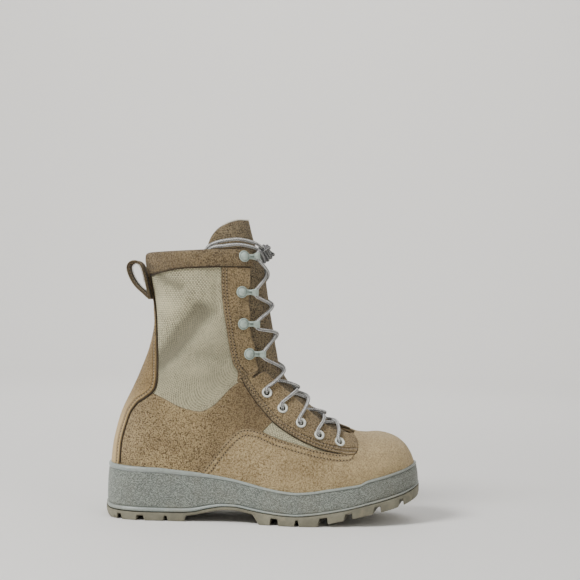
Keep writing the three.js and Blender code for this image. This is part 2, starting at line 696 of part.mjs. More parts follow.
function addHardware() {
  const finish = COLOURS.metal;
  [
    { name: "eyelet", places: EYELETS, geometry: eyeletGeometry(), lathe: true },
    { name: "hook", places: HOOKS, geometry: hookGeometry(), lathe: false },
  ].forEach(({ name, places, geometry, lathe }) => {
    places.forEach(({ x, z }, i) => {
      ["lateral", "medial"].forEach((sideName, k) => {
        const { point, out, forward } = frameAt(placeOf(x, z), 2 * k - 1, SEAT, !lathe);
        const piece = meshOf(`${name}_${sideName}_${i + 1}`, geometry, finish);
        piece.position.copy(point);
        const third = lathe ? forward.clone().cross(out) : out.clone().cross(forward);
        const basis = lathe ? [forward, out, third] : [forward, third, out];
        piece.quaternion.setFromRotationMatrix(new THREE.Matrix4().makeBasis(...basis));
        boot.add(piece);
      });
    });
  });
}

// ---- Lace ----

// A curve through points with as many steps between each two, near or far.
class Route extends THREE.CatmullRomCurve3 {
  getPointAt(share, target) {
    return this.getPoint(share, target);
  }
  getTangentAt(share, target) {
    return this.getTangent(share, target);
  }
  getSpacedPoints(count) {
    return this.getPoints(count);
  }
}

// A round cord through points, as a solid.
function cord(points, diameter, stepsBetween = 1) {
  const circle = new THREE.Shape().absarc(0, 0, diameter / 2, 0, 2 * Math.PI);
  const path = new Route(points, false, "centripetal");
  const steps = stepsBetween * (points.length - 1);
  const options = { steps, curveSegments: 4, bevelEnabled: false, extrudePath: path };
  return solidOf(new THREE.ExtrudeGeometry(circle, options));
}

// The stops of the lace, from the toe up, and where it passes each on one side.
const STOPS = [
  ...EYELETS.map((spot) => ({ ...placeOf(spot.x, spot.z), hook: false })),
  ...HOOKS.map((spot) => ({ ...placeOf(spot.x, spot.z), hook: true })),
];
const OVER_EYELET = SEAT + EYELET.rise + LACE / 2 + 1.5;

function passing(stop, way) {
  if (!stop.hook) return [frameAt(stop, way, OVER_EYELET).point];
  const { point, forward, up } = frameAt(stop, way, SEAT + HOOK.plate + HOOK.slot / 2, true);
  const inCurl = point.addScaledVector(forward, HOOK.reach - 0.2);
  return [-1, 0, 1].map((end) => inCurl.clone().addScaledVector(up, end * (HOOK.width / 2 + 2.8)));
}

// The way from one stop to the next on the other side: over the throat's edge beside the
// eyelets, across the ridge, and over the other edge.
function crossing(a, b, way) {
  const ridgeAt = (a.at + b.at) / 2;
  const lift = b.hook ? 1 : 3;
  const ridge = formPoint(ridgeAt, -1, 1, { front: -lift, back: -lift });
  const points = [new THREE.Vector3(...ridge).setY(0)];
  const edge = (at, side) => frameAt({ at, turn: throatTurn(at) }, side, LACE / 2 + 2.3).point;
  if (!a.hook) points.unshift(edge((3 * a.at + ridgeAt) / 4, way));
  if (!b.hook) points.push(edge((3 * b.at + ridgeAt) / 4, -way));
  return points;
}

// The two runs of lace that cross from side to side, over the eyelets and behind the
// curls of the hooks, joined where they cross.
function makeCrossings() {
  const run = (firstWay) => {
    const points = [];
    STOPS.forEach((stop, i) => {
      const way = i % 2 === 0 ? firstWay : -firstWay;
      points.push(...passing(stop, way));
      if (i + 1 < STOPS.length) points.push(...crossing(stop, STOPS[i + 1], way));
    });
    return cord(points, LACE);
  };
  const first = STOPS[0];
  const bar = [...passing(first, -1), ...crossing(first, first, -1), ...passing(first, 1)];
  return run(-1).add(run(1)).add(cord(bar, LACE));
}

// The knot in front of the tongue, tied from the two ends that leave the top hooks.
const KNOT = new THREE.Vector3(-3.5, -2, 257);
const WRAPS = {
  lace_wrap_upper: [
    [-9, -9, 261],
    [-15, -19, 264.5],
    [-29, -29, 267],
    [-44, -32.4, 265],
    [-57, -31.4, 261],
  ],
  lace_wrap_lower: [
    [-9, -8, 256],
    [-15, -20.5, 259.6],
    [-29, -30.5, 262],
    [-44, -34.6, 260.2],
    [-54, -35, 259],
  ],
};

function makeKnot() {
  const top = STOPS[STOPS.length - 1];
  const ends = [-1, 1].map((way) => {
    const leaving = passing(top, way)[2].add(new THREE.Vector3(0, 0, LACE / 2 + GAP));
    return [leaving, leaving.clone().lerp(KNOT, 0.5).add(new THREE.Vector3(1.5, 0, 2))];
  });
  const tie = cord([...ends[0], KNOT, ...ends[1].reverse()], LACE, 2);
  const turn = new THREE.TorusGeometry(4.4, LACE / 2, 6, 10);
  const placed = (x, y, z, shift) => {
    const turned = new THREE.Matrix4().makeRotationFromEuler(new THREE.Euler(x, y, z));
    return solidOf(turn, turned.setPosition(KNOT.clone().add(shift)));
  };
  return tie
    .add(placed(1.2, 0.4, 0, new THREE.Vector3(0, 0, 1.5)))
    .add(placed(0.2, 1.3, 0.3, new THREE.Vector3(0, 1, -1)))
    .add(solidOf(new THREE.SphereGeometry(4, 8, 6), new THREE.Matrix4().setPosition(KNOT)));
}

// ---- Assembly ----

addSolid("outsole", makeOutsole(), COLOURS.outsole);
addSolid("midsole", makeMidsole(), COLOURS.midsole);
addSolid("insole", makeInsole(), COLOURS.insole);
addSolid("upper", makeUpper(), COLOURS.upper);
addSolid("tongue", makeTongue(), COLOURS.tongue);
addSolid("pull_loop", makePullLoop(), COLOURS.strap);
addHardware();
addSolid("lace_crossings", makeCrossings(), COLOURS.lace);
addSolid("lace_knot", makeKnot(), COLOURS.lace);
Object.entries(WRAPS).forEach(([name, route]) => {
  const points = route.map((point) => new THREE.Vector3(...point));
  addSolid(name, cord(points, LACE, 2), COLOURS.lace);
});

export default boot;
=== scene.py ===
"""A combat boot for the right foot, standing empty on its sole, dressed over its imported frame."""

import math
from functools import cache

import bmesh
import bpy
import numpy as np
from mathutils import Matrix, Vector


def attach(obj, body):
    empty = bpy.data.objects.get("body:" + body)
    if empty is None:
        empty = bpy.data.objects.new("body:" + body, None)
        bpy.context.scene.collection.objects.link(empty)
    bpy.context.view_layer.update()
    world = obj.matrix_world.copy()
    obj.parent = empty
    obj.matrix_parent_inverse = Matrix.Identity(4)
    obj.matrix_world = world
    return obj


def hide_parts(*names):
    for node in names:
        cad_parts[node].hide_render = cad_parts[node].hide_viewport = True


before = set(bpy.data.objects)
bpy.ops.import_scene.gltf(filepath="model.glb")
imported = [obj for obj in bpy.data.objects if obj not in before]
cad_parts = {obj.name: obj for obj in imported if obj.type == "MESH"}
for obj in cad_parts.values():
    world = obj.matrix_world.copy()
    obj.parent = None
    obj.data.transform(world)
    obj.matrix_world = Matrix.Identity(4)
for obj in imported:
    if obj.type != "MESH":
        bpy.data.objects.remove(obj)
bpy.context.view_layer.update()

bl_info = {
    "name": "Combat boot",
    "version": (1, 0, 0),
    "blender": (4, 5, 0),
    "location": "3D View > Sidebar > Boot",
    "description": "Builds a lace-up suede and canvas boot, its sole, lace and fittings",
    "category": "Object",
}

MM = 0.001
BODY = "root"
FAR = 40.0  # a distance past which nothing near an edge shows
UNDER_RIM = 7.0  # how far the panels run down inside the cup
BRAID_TURNS, BRAID_STRANDS = 0.42, 4.0  # the lace's pattern: turns per millimetre, and strands each way

# ---- The last: the same slices as the frame's upper, in millimetres ----
# Each slice runs from a foot point (fx, fz) up to a ridge point (rx, rz) on the instep.
COLUMNS = "rx rz fx fz outer inner ridge wide top low front back".split()
SLICES = np.array([
    [145.5, 50.5, 145.5, 47, 7.2, 8.8, 8, 0.5, 2.2, 2.2, 3, 3],  # toe tip
    [144.6, 56.5, 143.2, 43.5, -2.5, 17.5, 7.5, 0.45, 2.3, 2.2, 3, 3],
    [141.5, 64.5, 138.5, 40.5, -10.5, 25, 7, 0.4, 2.35, 2.2, 3, 3],
    [135.5, 73.3, 131.5, 37.5, -20, 33, 6.5, 0.36, 2.4, 2.2, 3, 3],
    [126, 79.8, 121.5, 33.5, -28, 39, 6, 0.33, 2.4, 2.2, 3, 3],
    [112, 82.9, 106, 28, -36, 43.5, 6, 0.3, 2.35, 2.2, 3, 3],
    [98, 83.6, 90, 23.8, -41, 46, 6, 0.28, 2.25, 2.2, 3, 3],  # vamp
    [85, 85.6, 73, 20.5, -44.3, 46.8, 6, 0.26, 2.15, 2.2, 3, 3],
    [70, 93.5, 54, 18, -46.6, 45.3, 6, 0.24, 2.15, 2.2, 3, 3],  # ball
    [54.5, 104.6, 32, 16.8, -47.6, 41.8, 6, 0.22, 2.15, 2.2, 3, 3],
    [39.5, 118.5, 7, 18, -45.4, 35.8, 5, 0.22, 2.15, 2.2, 3, 3],
    [27, 131, -22, 21.5, -40, 31.6, 4, 0.25, 2.1, 2.2, 3, 3],  # instep
    [18.8, 143, -56, 24.8, -36.5, 30.8, 3, 0.3, 2.05, 2.2, 3, 3.2],  # waist
    [15.2, 152.5, -90, 26, -36, 31.8, 2, 0.36, 2, 2.3, 3, 3.4],
    [13.8, 159.5, -116, 26, -36, 33, 1, 0.4, 2, 2.4, 3, 3.6],
    [12.7, 164.5, -132, 26.4, -36, 34.2, 0.5, 0.43, 2, 2.5, 3, 3.6],
    [11.8, 169, -142, 29.5, -36, 35, 0, 0.45, 2, 2.6, 3, 3.6],  # heel corner
    [10.8, 175, -146, 44, -36, 35.5, 0, 0.47, 2, 2.6, 3, 3.6],
    [9.6, 181.5, -145.4, 62, -36, 36, 0, 0.49, 2, 2.5, 3, 3.6],
    [8.2, 188.5, -142.2, 82, -36.3, 36.6, 0, 0.5, 2, 2.4, 3, 3.6],
    [6.8, 196, -136.4, 102, -36.8, 37.2, 0, 0.5, 2, 2.3, 3, 3.6],  # shaft
    [5.4, 204, -127.8, 121, -37.2, 37.5, 0, 0.5, 2, 2.15, 3, 3.8],
    [4, 212.5, -119.6, 141, -37.2, 37.5, 0, 0.5, 2, 2.05, 3, 4],
    [2.6, 221, -112.8, 161, -37, 37.2, 0, 0.5, 2, 2, 3, 4.4],
    [1.2, 229.5, -108.7, 182, -37, 37, 0, 0.5, 2, 2, 3, 5],
    [-0.4, 237.5, -109.4, 203, -37.5, 37.5, 0, 0.5, 2, 2, 3, 6],
    [-2.6, 245, -113.4, 221, -38, 38, 0, 0.5, 2, 2, 3, 7.5],
    [-5.4, 252.5, -117, 238, -38.5, 38.5, 0, 0.5, 2, 2, 3, 8.5],
    [-8.5, 259.5, -119, 253, -37.5, 37.5, 0, 0.5, 2, 2, 3, 7],  # collar
    [-12.5, 271, -121, 270, -35.5, 35.5, 0, 0.5, 2, 2, 3, 5],
    [-17, 288, -124, 290, -33, 33, 0, 0.5, 2, 2, 3, 5],  # top of the tongue
])
VAMP_SLICE, HEEL_CORNER, COLLAR, LAST_SLICE = 6.85, 16, 28, 30

# Half of the throat's width, and the share of a slice that the tongue leaves free.
THROAT = np.array([
    [6.85, 1], [6.95, 8], [7.2, 13.5], [7.6, 18], [8.4, 21], [9.7, 20.5], [11, 17.5],
    [12, 17.5], [13, 19], [13.9, 21.5], [14.4, 26.5], [14.9, 23.2], [17.6, 23.8],
    [19.5, 25.7], [23, 27.6], [25.9, 26], [27.3, 23.5], [30, 22],
])
TONGUE = np.array([
    [6.4, 0.975], [7, 0.93], [8, 0.87], [10, 0.82], [12, 0.74], [16, 0.66], [24, 0.56],
    [30, 0.52],
])

# The sole's plan: half width and middle along x. Its side: rim, parting line, root, tread.
HALF_WIDTH = np.array([
    [-108, 39.3], [-80, 38.8], [-50, 38.2], [-30, 38.6], [-5, 42], [20, 47.5], [45, 51],
    [65, 51.6],
])
MIDDLE = np.array([
    [-151, 0], [-100, 0], [-60, -1.4], [-30, -3], [0, -4.8], [25, -4.2], [50, -1.1],
    [75, 1.6], [100, 3], [125, 5.5], [151, 8],
])
SIDE = np.array([
    [-151, 51.5, 11, 9, 8.5], [-148, 51.3, 9, 6.6, 2.4], [-143, 50.8, 8.2, 5.2, 0],
    [-120, 50, 8, 4.8, 0], [-97, 49.4, 8, 4.8, 0], [-77, 47.6, 8.2, 5, 0],
    [-67, 46.7, 9, 6, 0], [-48, 44.4, 13.2, 10, 0], [-38, 42.8, 14.8, 11.8, 0],
    [-28, 41.2, 15, 12, 0], [-9, 37, 12.4, 9.2, 0], [1, 34.8, 11, 7.6, 0],
    [20, 32, 9.4, 6, 0], [30, 31.3, 9.2, 5.8, 0], [48, 32.6, 10.6, 7, 0],
    [58, 34.4, 12, 8.6, 2], [78, 37.4, 15.6, 12, 6.2], [91, 39.6, 18.6, 14.8, 9],
    [97.5, 42.9, 20.2, 16.4, 10.4], [118, 48, 25, 21, 14.6], [134, 52.6, 29.4, 25.2, 18.8],
    [145, 56.5, 33.6, 29.2, 23], [151, 58.5, 36.4, 32.4, 26.6],
])
RIM, LINE, ROOT, TREAD = 1, 2, 3, 4
EDGE_GROOVES = [
    (-139.5, 4.8), (-118, 7.2), (-94, 3.5), (9.5, 7.6), (31.5, 3.8), (56.5, 8.6), (80, 7.4),
    (106, 6.5), (127, 4),
]
MIDDLE_GROOVES = [(-129, 5), (-84, 4), (20, 5), (68, 6), (94, 6), (118, 5)]
MIDDLE_BAND = 12
HEEL_BREAST, FOREPART_START = -73, -5

EYELETS = [(71, 77), (51.5, 83.5), (34, 94.5), (16.5, 107.5), (1, 121.8)]
HOOKS = [(-16.8, 158.5), (-23.2, 187), (-25.3, 217), (-24.4, 250.5)]


def read(table, x, column=1):
    """Reads a table's column on a smooth curve that never swings past its rows."""
    key, value = table[:, 0], table[:, column]
    x = np.clip(x, key[0], key[-1])
    i = np.clip(np.searchsorted(key, x, side="right") - 1, 0, len(key) - 2)
    slope = np.diff(value) / np.diff(key)
    product, total = slope[:-1] * slope[1:], slope[:-1] + slope[1:]
    tangent = np.concatenate([
        slope[:1],
        np.where(product > 0, 2 * product / np.where(product > 0, total, 1), 0),
        slope[-1:],
    ])
    step = key[i + 1] - key[i]
    t = (x - key[i]) / step
    start = (value[i] * (1 + 2 * t) + tangent[i] * step * t) * (1 - t) ** 2
    return start + (value[i + 1] * (3 - 2 * t) - tangent[i + 1] * step * (1 - t)) * t * t


def section(at, name):
    """Reads a column of SLICES between its rows, on a smooth curve through them."""
    value = SLICES[:, COLUMNS.index(name)]
    i = np.clip(np.floor(at).astype(int), 0, LAST_SLICE - 1)
    t = at - i
    p, q, r, s = (value[np.clip(i + k, 0, LAST_SLICE)] for k in (-1, 0, 1, 2))
    return q + 0.5 * t * (r - p + t * (2 * p - 5 * q + 4 * r - s + t * (3 * (q - r) + s - p)))


def half_width(x, inset, heel, toe):
    """Half of the sole's plan at x, drawn in by an inset, with round heel and toe."""
    wide = read(HALF_WIDTH, x) - inset
    back = np.clip((heel + 43 - x) / 43, 0, 1)
    front = np.clip((x - toe + 86) / 86, 0, 1)
    return wide * (1 - back**2.3) ** (1 / 2.3) * (1 - front**2.2) ** (1 / 2.2)


def last_points(at, c):
    """Points of the last. c runs round a slice: 0 on the instep ridge, 0.5 on the inner
    side, 1 under the foot or on the heel line, 1.5 on the outer side."""
    c = np.mod(c, 2.0)
    inner = c <= 1
    turn = np.where(inner, 1 - 2 * c, 2 * c - 3)
    wide = section(at, "wide")
    edge = np.where(inner, section(at, "inner"), section(at, "outer"))
    power = 2 / np.where(turn >= 0, section(at, "top"), section(at, "low"))
    angle = np.abs(turn) * math.pi / 2
    out = np.maximum(0, np.cos(angle)) ** power
    up = np.sin(angle) ** power
    fx, fz = section(at, "fx"), section(at, "fz")
    under = at < HEEL_CORNER
    middle = np.where(under, read(MIDDLE, fx), 0)
    feather = np.where(under, np.maximum(0, half_width(fx, 9.5, -142, 145.5)), 0)
    start = np.where(turn >= 0, section(at, "ridge"), middle + np.where(inner, 1, -1) * feather)
    share = np.where(turn >= 0, wide + (1 - wide) * up, wide * (1 - up))
    x = fx + (section(at, "rx") - fx) * share
    z = fz + (section(at, "rz") - fz) * share
    return np.stack([x, start + (edge - start) * out, z], -1)


def segment_distance(x, z, points):
    """Distance to a line of points in the side view, and the direction away from it."""
    best = np.full(np.shape(x), 1e9)
    away_x, away_z = np.zeros_like(best), np.zeros_like(best)
    for (ax, az), (bx, bz) in zip(points[:-1], points[1:]):
        ux, uz = bx - ax, bz - az
        t = np.clip(((x - ax) * ux + (z - az) * uz) / (ux * ux + uz * uz + 1e-9), 0, 1)
        dx, dz = x - ax - t * ux, z - az - t * uz
        d = np.hypot(dx, dz)
        near = d < best
        best = np.where(near, d, best)
        away_x, away_z = np.where(near, dx, away_x), np.where(near, dz, away_z)
    size = np.maximum(best, 1e-6)
    return best, away_x / size, away_z / size


# Soft troughs (negative) and ridges (positive) of the worn upper: side (-1 outer, 1 inner,
# 0 both), height, half width, and the line that each follows in the side view.
CREASES = [
    (-1, -4.6, 12, [(-64, 197), (-81, 176), (-101, 150)]),
    (-1, -2.8, 6, [(-112, 233), (-98, 225), (-84, 220)]),
    (-1, 1.6, 10, [(-100, 205), (-90, 198), (-80, 204)]),
    (-1, -1.6, 7, [(-66, 158), (-54, 156), (-40, 152)]),
    (-1, 1.5, 11, [(-92, 144), (-75, 136), (-60, 141)]),
    (-1, -1.2, 5, [(-50, 236), (-50, 215), (-48.5, 200)]),
    (1, -1.9, 9, [(-62, 206), (-82, 181), (-98, 162)]),
    (1, -1.2, 8, [(-42, 168), (-62, 156), (-82, 152)]),
    (1, 0.9, 12, [(-88, 214), (-74, 218)]),
    (0, -1.1, 8, [(-112, 128), (-92, 134), (-70, 131)]),
    (0, -0.9, 6, [(-100, 112), (-82, 100), (-60, 96)]),
    (-1, -0.8, 5, [(38, 66), (54, 58), (64, 48)]),
    (-1, -0.7, 5, [(56, 64), (70, 56), (80, 50)]),
    (1, -0.9, 5, [(34, 70), (50, 60), (62, 48)]),
    (1, -0.7, 5, [(56, 68), (70, 58), (80, 50)]),
    (0, -1.0, 8, [(92, 84), (97, 72)]),
    (0, 0.7, 10, [(112, 84), (110, 72)]),
    (0, -0.7, 7, [(-128, 92), (-112, 86), (-96, 88)]),
]


def fold(points, c):
    """How far the worn face stands over or under the last there."""
    x, z = points[..., 0], points[..., 2]
    inner = np.mod(c, 2.0) <= 1
    lift = 0.28 * np.sin(x / 7.3 + z / 11) * np.sin(z / 8.1 - x / 17 + np.where(inner, 2, 0))
    for way, height, wide, line in CREASES:
        d, _, _ = segment_distance(x, z, line)
        mine = (way == 0) | (inner == (way > 0))
        lift = lift + mine * height * np.exp(-((d / wide) ** 2))
    return lift * np.clip(np.abs(points[..., 1]) / 12, 0, 1)


def surface(at, c):
    """The upper's face with its creases, and the directions out of it."""
    step_at, step_c = 0.04, 0.006
    low, high = np.maximum(at - step_at, 0), np.minimum(at + step_at, LAST_SLICE)
    along = last_points(high, c) - last_points(low, c)
    round_it = last_points(at, c + step_c) - last_points(at, c - step_c)
    out = np.cross(round_it, along)
    out /= np.maximum(np.linalg.norm(out, axis=-1, keepdims=True), 1e-9)
    points = last_points(at, c)
    return points + out * fold(points, c)[..., None], out


def wall(at, c):
    """Thickness of the frame's wall there."""
    turn = np.abs(np.mod(c, 2.0) - 1) * 2 - 1
    share = np.where(turn < 0, 1, np.maximum(0, np.cos(turn * math.pi / 2)))
    return section(at, "front") + (section(at, "back") - section(at, "front")) * share


def under_wall(depth):
    """The height, over the last, of a face that lies at a depth inside the wall."""
    return lambda at, c: -wall(at, c) - depth


# ---- Meshes ----

def unit(vectors):
    """Rows of vectors at a length of one."""
    return vectors / np.linalg.norm(vectors, axis=1, keepdims=True)


def run_length(points):
    """How far along a line each of its points lies."""
    return np.concatenate([[0], np.cumsum(np.linalg.norm(np.diff(points, axis=0), axis=1))])


def squared(wave, power):
    """A wave with its flanks made steeper and its crests flatter."""
    return np.sign(wave) * np.abs(wave) ** power


def shaded(name, points, faces, material, layers=None, uv=None):
    """A piece in metres from points in millimetres, with its named point values."""
    mesh = bpy.data.meshes.new(name)
    mesh.from_pydata((np.asarray(points) * MM).tolist(), [], faces)
    mesh.shade_smooth()
    for key, values in (layers or {}).items():
        layer = mesh.attributes.new(key, "FLOAT", "POINT")
        layer.data.foreach_set("value", np.asarray(values, dtype=np.float32))
    if uv is not None:
        corners = np.empty(len(mesh.loops), dtype=np.int32)
        mesh.loops.foreach_get("vertex_index", corners)
        mesh.uv_layers.new(name="UVMap").data.foreach_set(
            "uv", np.asarray(uv, dtype=np.float32)[corners].ravel())
    mesh.materials.append(material)
    mesh.validate()
    piece = bpy.data.objects.new(name, mesh)
    bpy.context.scene.collection.objects.link(piece)
    return piece


def tube_faces(rings, count, closed_ends=True, closed_path=False):
    """Faces of rings of points joined in order, with fans at both ends."""
    faces = []
    for r in range(rings if closed_path else rings - 1):
        a, b = r * count, ((r + 1) % rings) * count
        faces += [(a + i, a + (i + 1) % count, b + (i + 1) % count, b + i) for i in range(count)]
    if closed_ends and not closed_path:
        first, last = rings * count, rings * count + 1
        end = (rings - 1) * count
        faces += [((i + 1) % count, i, first) for i in range(count)]
        faces += [(end + i, end + (i + 1) % count, last) for i in range(count)]
    return faces


def loft(name, rings, material, layers=None, uv=None, closed_path=False):
    """A closed skin over equal rings of points, turned to face outwards."""
    rings = np.asarray(rings, dtype=float)
    count = rings.shape[1]
    points = rings.reshape(-1, 3)
    faces = tube_faces(len(rings), count, True, closed_path)
    extra = 0 if closed_path else 2
    if extra:
        points = np.vstack([points, rings[0].mean(0), rings[-1].mean(0)])
    tri = np.array([(f[0], f[1], f[2]) for f in faces] + [(f[0], f[2], f[3]) for f in faces if len(f) == 4])
    volume = np.einsum("ij,ij->i", points[tri[:, 0]], np.cross(points[tri[:, 1]], points[tri[:, 2]])).sum()
    if volume < 0:
        faces = [f[::-1] for f in faces]
    padded = {k: np.concatenate([np.ravel(v), np.zeros(extra)]) for k, v in (layers or {}).items()}
    if uv is not None:
        uv = np.vstack([np.reshape(uv, (-1, 2)), np.zeros((extra, 2))])
    return shaded(name, points, faces, material, padded, uv)


def smooth_line(points, steps=6):
    """A smooth curve through points of the side view or of space."""
    p = np.asarray(points, dtype=float)
    if len(p) < 3:
        return p
    padded = np.vstack([2 * p[0] - p[1], p, 2 * p[-1] - p[-2]])
    t = np.linspace(0, 1, steps, endpoint=False)[:, None]
    made = []
    for a, b, c, d in zip(padded[:-3], padded[1:-2], padded[2:-1], padded[3:]):
        made.append(0.5 * (2 * b + (c - a) * t + (2 * a - 5 * b + 4 * c - d) * t**2
                           + (3 * (b - c) + d - a) * t**3))
    return np.vstack(made + [p[-1:]])


def outline(*runs):
    """A closed outline from smooth runs that meet in sharp corners."""
    parts = [smooth_line(run) for run in runs]
    return np.vstack(parts + [parts[0][:1]])


def inside(line, points, out):
    """Signed distance to an outline of the side view, measured on the face."""
    x, z = points[..., 0], points[..., 2]
    d, ax, az = segment_distance(x, z, line)
    steep = out[..., 0] * ax + out[..., 2] * az
    d = d / np.sqrt(np.maximum(0.12, 1 - steep**2))
    within = np.zeros(np.shape(x), dtype=bool)
    for (x0, z0), (x1, z1) in zip(line[:-1], line[1:]):
        crosses = (z0 > z) != (z1 > z)
        with np.errstate(divide="ignore", invalid="ignore"):
            reach = (x1 - x0) * (z - z0) / (z1 - z0 + 1e-12) + x0
        within ^= crosses & (x < reach)
    return np.where(within, d, -d)


# ---- The upper's grid and its panels ----

def even_slices(spacing):
    """Slices at about even distances along the boot."""
    at = np.linspace(0, LAST_SLICE, 1500)
    steps = 0
    for c, share in ((0, 0.35), (1, 0.35), (0.5, 0.3)):
        p = last_points(at, np.full_like(at, c))
        steps = steps + share * np.linalg.norm(np.diff(p, axis=0), axis=1)
    length = np.concatenate([[0], np.cumsum(steps)])
    return np.interp(np.arange(0, length[-1], spacing), length, at)


class Cloth:
    """A grid over part of the upper's face."""

    def __init__(self, c_from, c_to, columns, spacing, at_from, at_to):
        rows = even_slices(spacing)
        rows = np.concatenate([[at_from], rows[(rows > at_from + 0.02) & (rows < at_to - 0.02)], [at_to]])
        self.at, self.c = np.meshgrid(rows, np.linspace(c_from, c_to, columns), indexing="ij")
        self.points, self.out = surface(self.at, self.c)
        side = np.argmin(np.abs(self.c[0] - (0.5 if c_from < 0.5 < c_to else 1.5)))
        across = np.linalg.norm(np.diff(self.points, axis=1), axis=2)
        u = np.concatenate([np.zeros((len(rows), 1)), np.cumsum(across, axis=1)], axis=1)
        u = u - u[:, side:side + 1]
        v = run_length(self.points[:, side])[:, None] + 0 * u
        self.uv = np.stack([u, v], -1)


def throat_distance(at, points):
    """How far a point of the face lies from the throat's edge, positive outside it."""
    half = read(THROAT, at)
    open_here = (at > VAMP_SLICE)
    near = np.abs(points[..., 1]) - half
    return np.where(open_here, near, np.maximum(near, (VAMP_SLICE - at) * 13))


def upper_side(c):
    """True on the half of each slice that holds the instep."""
    turn = np.abs(np.mod(c, 2.0) - 1) * 2 - 1
    return turn > 0


def above_rim(points, depth):
    """How far a point stands above a line under the cup's rim."""
    return points[..., 2] - read(SIDE, points[..., 0], RIM) + depth


def split(poly, value, iso, make):
    """A polygon of vertex numbers cut in two at a value."""
    over, under = [], []
    for a, b in zip(poly, poly[1:] + poly[:1]):
        fa, fb = value(a), value(b)
        if fa >= iso:
            over.append(a)
        if fa <= iso:
            under.append(a)
        if (fa - iso) * (fb - iso) < 0:
            new = make(a, b, iso)
            over.append(new)
            under.append(new)
    return over, under


def panel(name, grid, distance, material, high, low, edge, drop, seam=None, bound=0.0):
    """A flat piece of leather or cloth on the upper: its outline is where distance is 0,
    its face lies at a height over the last and its back at another."""
    f = distance(grid.at, grid.c, grid.points, grid.out)
    f = np.where(np.abs(f) < 1e-3, 1e-3, f)
    rows, columns = f.shape
    at, c, dist = (list(a.ravel()) for a in (grid.at, grid.c, f))
    uv = list(grid.uv.reshape(-1, 2))
    index = np.arange(rows * columns).reshape(rows, columns)
    cells = np.stack([index[:-1, :-1], index[:-1, 1:], index[1:, 1:], index[1:, :-1]], -1).reshape(-1, 4)
    flat = f.ravel()
    least, most = flat[cells].min(1), flat[cells].max(1)
    made = {}

    def make(a, b, iso):
        key = (min(a, b), max(a, b), iso)
        if key not in made:
            t = (iso - dist[a]) / (dist[b] - dist[a])
            at.append(at[a] + t * (at[b] - at[a]))
            c.append(c[a] + t * (c[b] - c[a]))
            uv.append(uv[a] + t * (uv[b] - uv[a]))
            dist.append(iso)
            made[key] = len(at) - 1
        return made[key]

    polys = [tuple(p) for p in cells[least >= edge].tolist()]
    for cell in cells[(least < edge) & (most > 0)].tolist():
        over, under = split(cell, dist.__getitem__, edge, make)
        if len(over) > 2:
            polys.append(tuple(over))
        if len(under) > 2:
            kept, _ = split(under, dist.__getitem__, 0.0, make)
            if len(kept) > 2:
                polys.append(tuple(kept))
    used = sorted({v for p in polys for v in p})
    number = {v: k for k, v in enumerate(used)}
    polys = [tuple(number[v] for v in p) for p in polys]
    at, c, dist = (np.array([a[v] for v in used], dtype=float) for a in (at, c, dist))
    uv = np.array([uv[v] for v in used])
    points, out = surface(at, c)
    round_off = np.sqrt(np.maximum(0, 1 - (1 - np.clip(dist / edge, 0, 1)) ** 2))
    top = (high(at, c) if callable(high) else high) - drop * (1 - round_off)
    base = low(at, c) if callable(low) else np.full_like(at, low)
    count = len(used)
    verts = np.vstack([points + out * top[:, None], points + out * base[:, None]])
    edges = dict.fromkeys(pair for p in polys for pair in zip(p, p[1:] + p[:1]))
    walls = [(b, a, a + count, b + count) for a, b in edges if (b, a) not in edges]
    faces = polys + [tuple(v + count for v in reversed(p)) for p in polys] + walls
    layers = {
        "edge": np.tile(np.clip(dist, 0, FAR), 2),
        "bound": np.full(2 * count, bound),
        "seam": np.tile(np.full(count, FAR) if seam is None else seam(at, points, out), 2),
        "fold": np.tile(fold(last_points(at, c), c), 2),
    }
    return shaded(name, verts, faces, material, layers, np.vstack([uv, uv]))


SHORTEST_RUN = 5


def contour(grid, distance, iso, keep, height):
    """Lines on the face at a distance inside a panel's outline: points and directions out."""
    f = distance(grid.at, grid.c, grid.points, grid.out) - iso
    f = np.where(np.abs(f) < 1e-4, 1e-4, f)
    crossing = {}
    links = {}

    def point_on(a, b):
        key = (min(a, b), max(a, b))
        if key not in crossing:
            (ra, ca), (rb, cb) = key
            t = f[ra, ca] / (f[ra, ca] - f[rb, cb])
            crossing[key] = (
                grid.at[ra, ca] + t * (grid.at[rb, cb] - grid.at[ra, ca]),
                grid.c[ra, ca] + t * (grid.c[rb, cb] - grid.c[ra, ca]))
        return key

    sign = f > 0
    total = sign[:-1, :-1].astype(int) + sign[1:, :-1] + sign[:-1, 1:] + sign[1:, 1:]
    for r, k in zip(*np.nonzero((total > 0) & (total < 4))):
        corners = [(r, k), (r, k + 1), (r + 1, k + 1), (r + 1, k)]
        hits = [point_on(a, b) for a, b in zip(corners, corners[1:] + corners[:1]) if sign[a] != sign[b]]
        for a, b in zip(hits[::2], hits[1::2]):
            links.setdefault(a, []).append(b)
            links.setdefault(b, []).append(a)
    chains, seen = [], set()
    starts = [k for k, v in links.items() if len(v) == 1] + list(links)
    for start in starts:
        if start in seen:
            continue
        chain, here = [], start
        while here is not None and here not in seen:
            seen.add(here)
            chain.append(crossing[here])
            here = next((n for n in links[here] if n not in seen), None)
        if len(chain) > 4:
            chains.append(np.array(chain))
    lines = []
    for chain in chains:
        points, out = surface(chain[:, 0], chain[:, 1])
        kept = keep(points, chain[:, 1])
        over = height(chain[:, 0], chain[:, 1])[:, None] if callable(height) else height
        lifted = np.hstack([points + out * over, out])
        cuts = np.flatnonzero(kept[1:] != kept[:-1]) + 1
        runs = zip(np.split(lifted, cuts), np.split(kept, cuts))
        lines += [run for run, good in runs if good[0] and len(run) > SHORTEST_RUN]
    return lines


# ---- Materials ----

